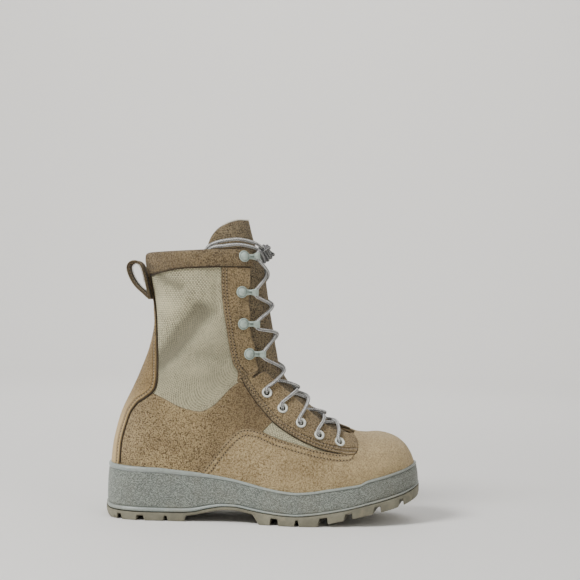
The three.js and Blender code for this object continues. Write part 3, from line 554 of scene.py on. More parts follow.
def socket(group, name, kind, is_input, default=None):
    made = group.interface.new_socket(name=name, in_out="INPUT" if is_input else "OUTPUT", socket_type=kind)
    if default is not None:
        made.default_value = default
    return made


class Nodes:
    """Short ways to add and join nodes in one tree."""

    def __init__(self, tree):
        self.tree = tree
        tree.nodes.clear()

    def add(self, kind, inputs=(), **settings):
        node = self.tree.nodes.new(kind)
        for key, value in settings.items():
            setattr(node, key, value)
        for key, value in dict(inputs).items():
            self.put(node.inputs[key], value)
        return node

    def put(self, target, value):
        if isinstance(value, bpy.types.NodeSocket):
            self.tree.links.new(value, target)
        else:
            target.default_value = value

    def maths(self, operation, a, b=0.0):
        return self.add("ShaderNodeMath", {0: a, 1: b}, operation=operation).outputs[0]

    def times(self, a, b):
        return self.maths("MULTIPLY", a, b)

    def plus(self, a, b):
        return self.maths("ADD", a, b)

    def minus(self, a, b):
        return self.maths("SUBTRACT", a, b)

    def place(self):
        return self.add("ShaderNodeTexCoord").outputs["Object"]

    def noise(self, vector, scale, detail, rough):
        inputs = {"Vector": vector, "Scale": scale, "Detail": detail, "Roughness": rough}
        return self.add("ShaderNodeTexNoise", inputs).outputs["Fac"]

    def mix(self, share, a, b):
        inputs = {"Factor": share, "A": a, "B": b}
        return self.add("ShaderNodeMix", inputs, data_type="RGBA").outputs["Result"]

    def spread(self, value, low, high, to_low=0.0, to_high=1.0):
        inputs = {"Value": value, "From Min": low, "From Max": high, "To Min": to_low, "To Max": to_high}
        return self.add("ShaderNodeMapRange", inputs, interpolation_type="SMOOTHSTEP").outputs["Result"]

    def value(self, name):
        return self.add("ShaderNodeAttribute", attribute_name=name).outputs["Fac"]

    def group(self, name, inputs):
        return self.add("ShaderNodeGroup", inputs, node_tree=bpy.data.node_groups[name]).outputs


def linear(red, green, blue):
    """A colour from the usual 0 to 255 display values."""
    shares = (v / 255 for v in (red, green, blue))
    return tuple(v / 12.92 if v < 0.0405 else ((v + 0.055) / 1.055) ** 2.4 for v in shares)


def rgba(colour, share=1.0):
    """A colour made lighter or darker, as a socket takes it."""
    return (*(v * share for v in colour), 1.0)


def toned(colour, share):
    return [v * share for v in colour]


def shader_group(name, *values):
    """A shader group of two tones and some values that puts out a colour and a height."""
    group = bpy.data.node_groups.new(name, "ShaderNodeTree")
    tones = (("Light", "Color", (0.5, 0.4, 0.3, 1)), ("Dark", "Color", (0.3, 0.2, 0.1, 1)))
    for key, kind, default in (*tones, *values):
        socket(group, key, "NodeSocket" + kind, True, default)
    for key, kind in (("Color", "Color"), ("Height", "Float")):
        socket(group, key, "NodeSocket" + kind, False)
    n = Nodes(group)
    return n, n.add("NodeGroupInput").outputs


def nap_group():
    """Brushed leather: broad blotches, clumps of fibre and fine grain."""
    n, source = shader_group("Brushed nap", ("Vector", "Vector", None), ("Clump", "Float", 500.0),
                             ("Coarse", "Float", 0.5), ("Blotch", "Float", 45.0))
    vector, coarse = source["Vector"], source["Coarse"]
    blotch = n.noise(vector, source["Blotch"], 5, 0.6)
    clump = n.noise(vector, source["Clump"], 3, 0.6)
    lumps = n.add("ShaderNodeTexVoronoi", {"Vector": vector, "Scale": source["Clump"]},
                  feature="SMOOTH_F1").outputs["Distance"]
    fine = n.noise(vector, 1500.0, 2, 0.7)
    speck = n.noise(vector, 820.0, 2, 0.8)

    def swing(value, gain):
        return n.times(n.minus(value, 0.5), gain)

    lump = n.minus(1.02, n.times(lumps, 1.1))
    rough = n.times(n.plus(swing(clump, 1.5), swing(lump, 0.9)), coarse)
    body = n.plus(0.5, n.plus(rough, n.plus(swing(fine, 0.9), swing(speck, 1.3))))
    share = n.spread(body, 0.1, 0.9, 0.0, 1.0)
    tint = n.mix(share, source["Dark"], source["Light"])
    tint = n.mix(n.spread(blotch, 0.34, 0.62, 0.3, 0.0), tint, source["Dark"])
    n.add("NodeGroupOutput", {"Color": tint, "Height": body})


def weave_group():
    """A plain weave of thick yarns along the piece's own UV map, given in millimetres."""
    n, source = shader_group("Yarn weave", ("UV", "Vector", None), ("Pitch", "Float", 1.5),
                             ("Turn", "Float", 0.16))
    wobble = n.add("ShaderNodeTexNoise", {"Vector": source["UV"], "Scale": 0.12, "Detail": 2.0})
    bent = n.add("ShaderNodeVectorMath", {0: wobble.outputs["Color"], "Scale": 1.0}, operation="SCALE")
    moved = n.add("ShaderNodeVectorMath", {0: source["UV"], 1: bent.outputs[0]}, operation="ADD")
    turned = n.add("ShaderNodeVectorRotate", {"Vector": moved.outputs[0], "Angle": source["Turn"]},
                   rotation_type="Z_AXIS")
    parts = n.add("ShaderNodeSeparateXYZ", {"Vector": turned.outputs[0]})
    a = n.maths("DIVIDE", parts.outputs["X"], source["Pitch"])
    b = n.maths("DIVIDE", parts.outputs["Y"], source["Pitch"])

    def hump(value, wide):
        part = n.minus(n.maths("FRACT", value), 0.5)
        return n.minus(1.0, n.maths("POWER", n.maths("ABSOLUTE", n.times(part, 2.0)), wide))

    odd = n.maths("MODULO", n.plus(n.maths("FLOOR", a), n.maths("FLOOR", b)), 2.0)
    odd = n.maths("GREATER_THAN", n.maths("ABSOLUTE", odd), 0.5)
    over = n.times(hump(a, 4.0), hump(b, 1.6))
    under = n.times(hump(b, 4.0), hump(a, 1.6))
    height = n.plus(n.times(over, odd), n.times(under, n.minus(1.0, odd)))
    cell = n.add("ShaderNodeCombineXYZ", {"X": n.maths("FLOOR", a), "Y": n.maths("FLOOR", b), "Z": odd})
    each = n.add("ShaderNodeTexWhiteNoise", {"Vector": cell.outputs[0]},
                 noise_dimensions="3D").outputs["Value"]
    fibre = n.noise(source["UV"], 2.6, 3, 0.7)
    share = n.plus(n.times(height, 0.62), n.plus(n.times(each, 0.3), n.times(fibre, 0.22)))
    share = n.plus(share, n.times(n.minus(odd, 0.5), 0.5))
    tint = n.mix(n.spread(share, 0.1, 0.85), source["Dark"], source["Light"])
    n.add("NodeGroupOutput", {"Color": tint, "Height": n.plus(height, n.times(odd, 0.35))})


def finish_material(n, colour, roughness, height, strength, distance, settings):
    """Ends a material: its colour, roughness and relief on one shader."""
    bump = n.add("ShaderNodeBump", {"Height": height, "Strength": strength, "Distance": distance})
    shader = n.add("ShaderNodeBsdfPrincipled",
                   {"Base Color": colour, "Roughness": roughness, "Normal": bump.outputs["Normal"]})
    for key, value in settings.items():
        shader.inputs[key].default_value = value
    n.add("ShaderNodeOutputMaterial", {"Surface": shader.outputs["BSDF"]})


def new_material(name):
    material = bpy.data.materials.new(name)
    material.use_nodes = True
    return Nodes(material.node_tree)


def suede(name, light, dark, clump, coarse, blotch, relief, lanes, worn=0.5, painted_light=None):
    """Brushed leather with worn, paler edges, dimpled lanes where stitches sink in, painted darker as shade,
    painted shade in the troughs of creases, and painted light or shade that changes from one place on the
    boot to another: (axis, start, end, colour, share)."""
    n = new_material(name)
    place = n.place()
    nap = n.group("Brushed nap", {"Vector": place, "Light": rgba(light), "Dark": rgba(dark), "Clump": clump,
                                  "Coarse": coarse, "Blotch": blotch})
    leather = nap["Color"]
    # Painted light or shade: the tone shifts towards another colour along one axis of the boot.
    if painted_light:
        axis, start, end, other, share = painted_light
        along = n.add("ShaderNodeSeparateXYZ", {"Vector": place}).outputs[axis]
        leather = n.mix(n.spread(along, start, end, 0.0, share), leather, rgba(other))
    edge = n.value("edge")
    cut = n.spread(edge, 0.0, 1.3, 1.0, 0.0)
    wear = n.times(n.spread(edge, 0.4, 3.2, 1.0, 0.0), n.spread(n.noise(place, 120.0, 4, 0.6), 0.42, 0.66))
    tint = n.mix(n.times(wear, worn), leather, rgba(light, 1.35))
    lane = 0.0
    for line in lanes:
        off = n.maths("ABSOLUTE", n.minus(n.value("seam"), line))
        lane = n.maths("MAXIMUM", lane, n.spread(off, 0.25, 1.15, 1.0, 0.0))
    # Painted shade: the troughs of the creases are painted darker.
    tint = n.mix(n.spread(n.value("fold"), -0.4, -2.2, 0.0, 0.35), tint, rgba(dark, 0.85))
    # Painted shade: the dimpled stitch lanes are painted darker, besides their bump.
    tint = n.mix(n.times(lane, 0.6), tint, rgba(dark, 0.7))
    tint = n.mix(n.times(cut, 0.7), tint, rgba(dark, 0.45))
    dust = n.spread(n.noise(place, 22.0, 6, 0.62), 0.45, 0.78)
    tint = n.mix(n.times(dust, 0.16), tint, rgba([min(1, v * 1.5) for v in light]))
    height = n.minus(nap["Height"], n.times(lane, 1.1))
    finish_material(n, tint, n.spread(nap["Height"], 0.2, 0.9, 0.98, 0.86), height, relief, 0.0016,
                    {"Sheen Weight": 0.14, "Sheen Roughness": 0.55, "Specular IOR Level": 0.18})


def canvas(name, light, dark):
    """Coarse woven cloth with faded, dusty patches, painted shade and highlight on its creases, and painted
    shade beside the panels that overlap it.
    """
    n = new_material(name)
    texture = n.add("ShaderNodeTexCoord")
    weave = n.group("Yarn weave", {"UV": texture.outputs["UV"], "Light": rgba(light), "Dark": rgba(dark)})
    place = texture.outputs["Object"]
    fade = n.spread(n.noise(place, 30.0, 5, 0.6), 0.35, 0.7)
    tint = n.mix(n.times(fade, 0.22), weave["Color"], rgba(light, 1.15))
    grime = n.spread(n.noise(place, 14.0, 4, 0.55), 0.5, 0.72)
    tint = n.mix(n.times(grime, 0.2), tint, rgba(dark, 0.8))
    # Painted shade in the troughs of the creases and a painted highlight on their ridges.
    tint = n.mix(n.spread(n.value("fold"), -0.4, -3.6, 0.0, 0.62), tint, rgba(dark, 0.62))
    tint = n.mix(n.spread(n.value("fold"), 0.3, 1.6, 0.0, 0.35), tint, rgba(light, 1.15))
    # Painted shade: darker within a few millimetres of the edge, where the overlapping panels cover the
    # canvas.
    near = n.spread(n.value("edge"), 3.2, 7.0, 1.0, 0.0)
    tint = n.mix(n.times(near, 0.3), tint, rgba(dark, 0.7))
    finish_material(n, tint, 0.9, weave["Height"], 1.0, 0.0009,
                    {"Sheen Weight": 0.1, "Specular IOR Level": 0.22})


def mesh_lining(name, light, dark, binding):
    """Dark knitted lining with rows of small holes and a turned leather edge."""
    n = new_material(name)
    texture = n.add("ShaderNodeTexCoord")
    holes = n.add("ShaderNodeTexVoronoi",
                  {"Vector": texture.outputs["UV"], "Scale": 0.42, "Randomness": 0.18})
    hole = n.spread(holes.outputs["Distance"], 0.22, 0.42, 1.0, 0.0)
    yarn = n.noise(texture.outputs["Object"], 1400.0, 3, 0.7)
    tint = n.mix(n.spread(yarn, 0.3, 0.75), rgba(dark), rgba(light))
    tint = n.mix(n.times(hole, 0.85), tint, rgba(dark, 0.15))
    turned = n.spread(n.value("edge"), 6.5, 7.2, 1.0, 0.0)
    turned = n.times(turned, n.value("bound"))
    grain = n.mix(n.spread(n.noise(texture.outputs["Object"], 500.0, 4, 0.7), 0.35, 0.65), rgba(binding, 0.6),
                  rgba(binding))
    tint = n.mix(turned, tint, grain)
    height = n.minus(n.times(yarn, 0.35), n.times(hole, n.minus(1.0, turned)))
    finish_material(n, tint, 0.85, height, 0.8, 0.0006, {"Sheen Weight": 0.15, "Specular IOR Level": 0.3})


RIM_GROOVE, RIB_GROOVE = 0.884, 0.11  # the grooves on the cup that are painted dark as shade, as shares of its height


def sidewall(name, body, band, dirt):
    """Moulded rubber: fine wrinkles along the wall with painted highlights and shade in their grain, a
    smoother rim and a thin pale rib, and painted shade in two grooves and towards the toe.
    """
    n = new_material(name)
    texture = n.add("ShaderNodeTexCoord")
    rise, place = n.value("rise"), texture.outputs["Object"]
    long = n.add("ShaderNodeMapping",
                 {"Vector": texture.outputs["UV"], "Rotation": (0, 0, 0.16), "Scale": (0.62, 1.55, 1.0)})
    bend = n.add("ShaderNodeTexNoise", {"Vector": texture.outputs["UV"], "Scale": 0.16, "Detail": 2.0})
    shift = n.add("ShaderNodeVectorMath", {0: bend.outputs["Color"], "Scale": 3.2}, operation="SCALE")
    bent = n.add("ShaderNodeVectorMath", {0: long.outputs[0], 1: shift.outputs[0]}, operation="ADD")
    cells = n.add("ShaderNodeTexVoronoi", {"Vector": bent.outputs[0], "Scale": 1.25, "Smoothness": 0.5},
                  feature="SMOOTH_F1")
    veins = n.noise(bent.outputs[0], 1.7, 5, 0.72)
    fleck = n.noise(bent.outputs[0], 3.4, 2, 0.6)
    grain = n.plus(n.times(cells.outputs["Distance"], 0.5), n.plus(n.times(veins, 0.9), n.times(fleck, 0.35)))
    wall_part = n.times(n.spread(rise, 0.1, 0.14), n.spread(rise, 0.868, 0.895, 1.0, 0.0))
    # The wrinkle grain spans dark to light: partly the rubber's own grain, partly painted highlights and
    # shade on the wrinkles.
    tint = n.mix(n.spread(grain, 0.68, 1.12), rgba(body, 0.32), rgba(body, 2.05))
    soft = n.mix(n.spread(n.noise(place, 420.0, 4, 0.65), 0.3, 0.7), rgba(band, 0.86), rgba(band, 1.1))
    tint = n.mix(wall_part, soft, tint)
    dusty = n.spread(n.noise(place, 26.0, 6, 0.65), 0.42, 0.75)
    tint = n.mix(n.times(dusty, 0.22), tint, rgba(dirt))
    low = n.spread(rise, 0.0, 0.3, 1.0, 0.0)
    tint = n.mix(n.times(low, n.times(dusty, 0.45)), tint, rgba(dirt))
    # Painted shade: darker towards the toe, mixed from the dust colour at half strength.
    front = n.add("ShaderNodeSeparateXYZ", {"Vector": place})
    toe = n.spread(front.outputs["X"], 0.055, 0.13)
    tint = n.mix(n.times(toe, 0.3), tint, rgba(dirt, 0.5))
    # Painted shade in the groove under the rim band.
    rim_groove_shade = n.spread(n.maths("ABSOLUTE", n.minus(rise, RIM_GROOVE)), 0.004, 0.02, 0.62, 0.0)
    tint = n.mix(rim_groove_shade, tint, rgba(body, 0.4))
    # Painted shade in the groove over the rib.
    under = n.spread(n.maths("ABSOLUTE", n.minus(rise, RIB_GROOVE)), 0.005, 0.026, 0.5, 0.0)
    tint = n.mix(under, tint, rgba(body, 0.45))
    scuff = n.spread(n.noise(place, 300.0, 4, 0.75), 0.61, 0.7)
    tint = n.mix(n.times(scuff, 0.3), tint, rgba(band, 1.5))
    height = n.plus(n.times(grain, wall_part), n.times(n.noise(place, 700.0, 3, 0.6), 0.2))
    rough = n.plus(n.spread(dusty, 0.0, 1.0, 0.3, 0.5), n.times(wall_part, 0.12))
    finish_material(n, tint, rough, height, 0.95, 0.0018, {"Specular IOR Level": 0.5})


def tread_rubber(name, body, dirt):
    """Dusty olive tread rubber, with painted shade in its grooves, across the open arch and along the top of
    its band.
    """
    n = new_material(name)
    place = n.place()
    dusty = n.spread(n.noise(place, 40.0, 6, 0.65), 0.35, 0.75)
    tint = n.mix(dusty, rgba(body, 0.75), rgba(body, 1.2))
    tint = n.mix(n.times(n.spread(n.noise(place, 95.0, 5, 0.7), 0.5, 0.75), 0.45), tint, rgba(dirt))
    # Painted shade in the grooves, across the arch and along the top of the band under the cup.
    tint = n.mix(n.times(n.value("groove"), 0.75), tint, rgba(body, 0.22))
    height = n.plus(n.noise(place, 700.0, 4, 0.65), n.times(n.noise(place, 160.0, 3, 0.5), 0.8))
    finish_material(n, tint, 0.8, height, 0.35, 0.0008, {"Specular IOR Level": 0.3})


def painted(name, paint, bare, metal=0.0):
    """Thin worn paint over metal, with rubbed spots, grime and painted shade in its grooves."""
    n = new_material(name)
    place = n.place()
    rub = n.spread(n.noise(place, 520.0, 5, 0.7), 0.6, 0.7)
    grime = n.spread(n.noise(place, 300.0, 5, 0.68), 0.4, 0.68)
    tint = n.mix(n.times(grime, 0.55), rgba(paint), rgba(paint, 0.5))
    tint = n.mix(n.times(rub, 0.6), tint, rgba(bare))
    # Painted shade in the grooves of the fitting.
    tint = n.mix(n.times(n.value("groove"), 0.85), tint, rgba(paint, 0.22))
    finish_material(n, tint, n.spread(grime, 0.0, 1.0, 0.3, 0.55), n.noise(place, 800.0, 3, 0.6),
                    0.12, 0.0003, {"Specular IOR Level": 0.5, "Metallic": metal})


def braid(name, light, dark, fleck):
    """Round braid: crossing strands along the UV map, with flecks of a second yarn."""
    n = new_material(name)
    texture = n.add("ShaderNodeTexCoord")
    parts = n.add("ShaderNodeSeparateXYZ", {"Vector": texture.outputs["UV"]})
    along = n.times(parts.outputs["X"], BRAID_TURNS)
    turn = n.times(parts.outputs["Y"], BRAID_STRANDS)
    first = n.maths("SINE", n.times(n.plus(along, turn), 2 * math.pi))
    second = n.maths("SINE", n.times(n.minus(along, turn), 2 * math.pi))
    height = n.maths("MAXIMUM", first, second)
    cell = n.add("ShaderNodeCombineXYZ",
                 {"X": n.maths("FLOOR", n.plus(along, turn)), "Y": n.maths("FLOOR", n.minus(along, turn))})
    each = n.add("ShaderNodeTexWhiteNoise", {"Vector": cell.outputs[0]},
                 noise_dimensions="3D").outputs["Value"]
    # Painted shade and highlight: the braid is darker in the hollows between its strands, and four stripes
    # along the cord stand in for its lit and shaded lines.
    stripe = n.maths("SINE", n.times(parts.outputs["Y"], 8 * math.pi))
    tint = n.mix(n.spread(n.plus(n.times(height, 0.6), n.times(stripe, 0.95)), -1.2, 0.9), rgba(dark),
                 rgba(light))
    tint = n.mix(n.times(n.maths("GREATER_THAN", each, 0.8), 0.5), tint, rgba(fleck))
    fuzz = n.noise(texture.outputs["Object"], 2200.0, 2, 0.7)
    finish_material(n, tint, 0.8, n.plus(height, n.times(fuzz, 0.6)), 0.7, 0.0004,
                    {"Sheen Weight": 0.25, "Specular IOR Level": 0.3})


def thread(name, colour):
    n = new_material(name)
    place = n.place()
    tint = n.mix(n.noise(place, 900.0, 2, 0.6), rgba(colour, 0.65), rgba(colour, 1.2))
    finish_material(n, tint, 0.8, n.noise(place, 2600.0, 2, 0.6), 0.4, 0.0003, {"Sheen Weight": 0.15})


def floor_material(name, colour):
    n = new_material(name)
    place = n.place()
    tint = n.mix(n.noise(place, 1.5, 3, 0.5), rgba(colour, 0.97), rgba(colour))
    finish_material(n, tint, 0.9, n.noise(place, 60.0, 2, 0.5), 0.02, 0.001, {"Specular IOR Level": 0.2})


def make_materials(colours):
    """Every finish of the boot, from the colours in the panel."""
    nap_group()
    weave_group()
    c = {name: tuple(getattr(colours, name)) for name in COLOURS}
    # Painted light: the vamp is made lighter towards the toe.
    suede("Vamp suede", toned(c["vamp"], 1.06), linear(112, 92, 60), 640.0, 0.5, 30.0, 0.8, VAMP_LANES,
          painted_light=("X", 0.055, 0.12, toned(c["vamp"], 1.5), 0.24))
    # Painted shade: the quarter is made darker towards its front.
    suede("Quarter suede", toned(c["quarter"], 1.08), linear(86, 66, 38), 900.0, 1.05, 24.0, 1.0, (), 0.35,
          painted_light=("X", -0.08, -0.015, linear(86, 66, 40), 0.55))
    suede("Collar suede", toned(c["collar"], 0.92), linear(68, 53, 33), 850.0, 0.9, 30.0, 1.0, ())
    suede("Facing suede", toned(c["collar"], 1.16), linear(84, 69, 46), 850.0, 0.8, 30.0, 0.9, FACING_LANES)
    # Painted light and shade: the backstay is lighter low on the heel and darker above it.
    suede("Backstay suede", [v * f for v, f in zip(c["collar"], (1.08, 1.0, 0.8))], linear(106, 86, 53),
          760.0, 0.8, 30.0, 0.8, BACKSTAY_LANES, 0.6,
          painted_light=("Z", 0.13, 0.085, toned(c["collar"], 2.35), 0.6))
    suede("Tongue suede", toned(c["tongue"], 1.1), linear(68, 57, 39), 800.0, 1.0, 34.0, 1.0, (), 0.3)
    suede("Strap leather", c["strap"], linear(78, 65, 45), 560.0, 0.5, 60.0, 0.5, (), 0.4)
    suede("Seam shadow", linear(92, 76, 50), linear(54, 43, 27), 600.0, 0.5, 60.0, 0.4, (), 0.0)
    canvas("Shaft canvas", toned(c["canvas"], 1.16), linear(108, 104, 86))
    mesh_lining("Lining mesh", linear(52, 58, 74), linear(22, 26, 38), linear(112, 94, 66))
    sidewall("Sidewall rubber", c["sidewall"], linear(140, 148, 143), linear(150, 141, 118))
    tread_rubber("Tread rubber", c["tread"], linear(156, 146, 122))
    painted("Hook paint", c["fittings"], linear(112, 116, 106), 0.4)
    painted("Eyelet paint", linear(214, 216, 206), linear(150, 148, 138))
    braid("Lace braid", c["lace"], linear(46, 46, 50), linear(96, 90, 98))
    # A darker copy of the lace for the knot: painted shade on the knotted strands.
    braid("Knot braid", toned(c["lace"], 0.42), linear(30, 29, 33), linear(84, 78, 90))
    thread("Tan thread", linear(160, 140, 106))
    thread("Needle hole", linear(46, 34, 22))
    thread("Cream fray", linear(226, 220, 206))
    floor_material("Pale floor", linear(234, 232, 228))


def finish(name):
    return bpy.data.materials[name]


# ---- The upper's pieces: outlines in the side view, millimetres ----

VAMP_EDGE = [
    (-58.5, 46), (-51.5, 55.5), (-42, 68.5), (-32, 80), (-25, 86), (-17.5, 88.5), (-8, 87.5),
    (-1, 85.5), (11.5, 80.5), (30.5, 75.5), (50, 70.5), (69, 67.4), (78.5, 67.2),
]
BACKSTAY_EDGE = [
    (-116, 245), (-114.5, 233), (-111, 215.5), (-108, 198.5), (-106, 174), (-105, 159),
    (-104, 144.5), (-103.5, 136.5), (-104, 128.5), (-106.5, 121.5), (-114, 115),
    (-121, 110), (-128, 100.5), (-131.5, 90.5), (-134.5, 80), (-136.5, 68), (-137.5, 46),
]
CANVAS_FRONT = [
    (-44.5, 250), (-44.5, 240.5), (-44, 222), (-42, 203), (-38.5, 183.5), (-35, 164),
    (-31.5, 149.5), (-26.5, 141.5), (-21, 136),
]
CANVAS_BOTTOM = [
    (-112, 121), (-106.5, 119.5), (-95, 114.5), (-85, 109.5), (-75.5, 106), (-63, 103.5),
    (-56, 105), (-46.5, 111.5), (-36.5, 122.5), (-28.5, 130), (-19, 134.5),
]
EYESTAY_EDGE = [
    (86, 66), (78, 66), (69.5, 67.5), (55, 71), (40.5, 76.5), (26, 83.5), (11.5, 92.5),
    (2, 101.5), (-7.5, 112), (-17, 125), (-23, 135.5),
]
EYESTAY_TOP = [(-23, 135.5), (-17, 139.6), (-12, 141), (-5.5, 143.5), (-0.5, 142.5), (5.5, 139.5)]
BAND_LINE = np.array([
    [-125, 229], [-113, 232], [-103, 234.5], [-83.5, 238.5], [-54.5, 240.5], [-35, 241],
    [-15.5, 241],
])

VAMP = outline(VAMP_EDGE, [(83, 69), (85.6, 74.5), (83, 84), (79, 100)], [(80, 130), (190, 130)],
               [(190, -20), (-95, -20)])
QUARTER = outline(CANVAS_BOTTOM, [(-8, 121), (4, 107), (13, 99)], [(8.5, 96.5), (-2, 85.5)],
                  [(6, 70), (4, 50), (-20, -20)], [(-200, -20), (-200, 122)])
CANVAS = outline([(x + 4, z) for x, z in CANVAS_FRONT], [(-22, 126), (-40, 112)],
                 [(-50, 101), (-63, 98), (-80, 101), (-112, 112)],
                 [(-113, 130), (-111, 160), (-112, 198), (-119, 233), (-121, 250)])
FACING = outline([(-12.5, 137), (-7.8, 142), (-7.2, 147), (-7.5, 152), (-10, 163)],
                 [(-4, 175), (10, 200), (10, 250)], CANVAS_FRONT[:-1], [(-27, 132), (-20, 128)])
EYESTAY = outline(EYESTAY_EDGE, EYESTAY_TOP[1:], [(16, 150), (60, 108), (75, 88.5)],
                  [(82.5, 85), (87, 80), (89, 74.5), (88.5, 69.5)])
BACKSTAY = outline(BACKSTAY_EDGE, [(-190, 46), (-190, 245)])
GUSSET = outline([(-13, 108), (18, 97)], [(64, 76), (84, 76)], [(84, 62), (60, 62)], [(28, 72), (-4, 80)])
TONGUE_TOP = outline([(20, 250), (10, 288)],
                     [(-21, 287.4), (-27, 286.9), (-36, 284.3), (-46, 279.3), (-53, 272), (-57, 264),
                      (-59.5, 254), (-61, 240)], [(-90, 60), (120, 60), (120, 250)])


def side_turn(turn, way):
    """Where round a slice a turn from the widest place (0) to the ridge (1) lies."""
    return (1 - turn) / 2 if way > 0 else (3 + turn) / 2


def place_on(x, z):
    """The slice and turn of the last's outer side that show at (x, z) in the side view."""
    at0, turn0, reach_at, reach_turn = 15.0, 0.5, 12.0, 0.5
    for _ in range(12):
        at = np.clip(at0 + reach_at * np.linspace(-1, 1, 17), 0.1, COLLAR)[:, None]
        turn = np.clip(turn0 + reach_turn * np.linspace(-1, 1, 17), 0.01, 0.99)[None, :]
        at, turn = np.broadcast_arrays(at, turn)
        p = last_points(at, side_turn(turn, -1))
        best = np.unravel_index(np.argmin(np.hypot(p[..., 0] - x, p[..., 2] - z)), at.shape)
        at0, turn0 = float(at[best]), float(turn[best])
        reach_at, reach_turn = reach_at / 2, reach_turn / 2
    return at0, turn0


def spot(place, way, lift, level=False):
    """A point over the last and the directions out, forward to the ridge and up there."""
    def here(at, turn):
        return last_points(np.array([at]), np.array([side_turn(turn, way)]))[0]
    at, turn = place
    forward = here(at, turn + 0.01) - here(at, turn - 0.01)
    forward /= np.linalg.norm(forward)
    along = here(at + 0.05, turn) - here(at - 0.05, turn)
    out = np.cross(forward, along)
    out /= np.linalg.norm(out)
    out *= 1 if out[1] * way > 0 else -1
    if level:
        forward = np.array([out[1], -out[0], 0.0]) / math.hypot(out[0], out[1])
    forward = forward if forward[0] > 0 else -forward
    up = np.cross(out, forward)
    up /= np.linalg.norm(up)
    up = up if up[2] > 0 else -up
    return here(at, turn) + out * lift, out, forward, up


EYELET_PLACES = [place_on(x, z) for x, z in EYELETS]
HOOK_PLACES = [place_on(x, z) for x, z in HOOKS]


def eyelet_distance(points):
    """Distance from the rims of the holes that are punched for the eyelets."""
    best = np.full(points.shape[:-1], FAR)
    for place in EYELET_PLACES:
        for way in (-1, 1):
            centre = spot(place, way, 0)[0]
            best = np.minimum(best, np.linalg.norm(points - centre, axis=-1) - 2.9)
    return best


def cut_by(line, holes=False):
    """The distance function of a panel: its outline, the throat, the cup's rim and holes."""
    def distance(at, c, points, out):
        d = np.minimum(inside(line, points, out), above_rim(points, UNDER_RIM))
        d = np.minimum(d, np.where(upper_side(c), throat_distance(at, points), FAR))
        return np.minimum(d, eyelet_distance(points) - 0.5) if holes else d
    return distance


@cache
def vamp_grid():
    return Cloth(-0.975, 0.975, 181, 1.25, 0.0, 13.5)


@cache
def wrap_grid():
    """The grid that every panel behind the vamp shares."""
    return Cloth(0.03, 1.97, 241, 1.25, 5.5, 28.0)


def stitch_rows(grid, distance, edge, rows, height):
    """Rows of stitches at distances inside an outline, along one edge of it."""
    lines = []
    for row in rows:
        def keep(points, c):
            near, _, _ = segment_distance(points[:, 0], points[:, 2], edge)
            return (near < row + 1.2) & (points[:, 2] > read(SIDE, points[:, 0], RIM) + 1.0)
        lines += contour(grid, distance, row, keep, height)
    return lines


def beside(line):
    """The distance from one edge of a panel, for the lanes of its stitches."""
    return lambda at, points, out: segment_distance(points[:, 0], points[:, 2], line)[0]


def settle(piece, slot_name, *nodes):
    """Ties a finished piece to the frame's body and hides the frame's nodes that it shows; slot_name is not
    used.
    """
    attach(piece, BODY)
    if nodes:
        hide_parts(*nodes)
    return piece


class Tree(Nodes):
    """A Geometry Nodes tree with named inputs and one output."""

    def __init__(self, name, inputs, output):
        super().__init__(bpy.data.node_groups.new(name, "GeometryNodeTree"))
        self.tree.is_modifier = True
        for key, kind, default in inputs:
            socket(self.tree, key, kind, True, default)
        socket(self.tree, output, "NodeSocketGeometry", False)
        self.source = self.add("NodeGroupInput").outputs
        self.out = self.add("NodeGroupOutput").inputs[output]

    def steps(self, spacing):
        """Points at even steps along the lines, and the way out of the piece there."""
        curve = self.add("GeometryNodeMeshToCurve", {"Mesh": self.source["Lines"]}).outputs["Curve"]
        even = self.add("GeometryNodeResampleCurve", {"Curve": curve, "Length": spacing}, mode="LENGTH")
        out = self.add("GeometryNodeInputNamedAttribute", {"Name": "out"}, data_type="FLOAT_VECTOR")
        return even.outputs["Curve"], out.outputs["Attribute"]

    def made(self, points, shape, rotation, material, selection=True, scale=(1, 1, 1)):
        """Copies of a shape at the points, as real geometry with its material."""
        copies = self.add("GeometryNodeInstanceOnPoints",
                          {"Points": points, "Instance": shape, "Rotation": rotation, "Selection": selection,
                           "Scale": scale})
        real = self.add("GeometryNodeRealizeInstances", {"Geometry": copies.outputs["Instances"]})
        return self.add("GeometryNodeSetMaterial",
                        {"Geometry": real.outputs["Geometry"], "Material": material}).outputs["Geometry"]


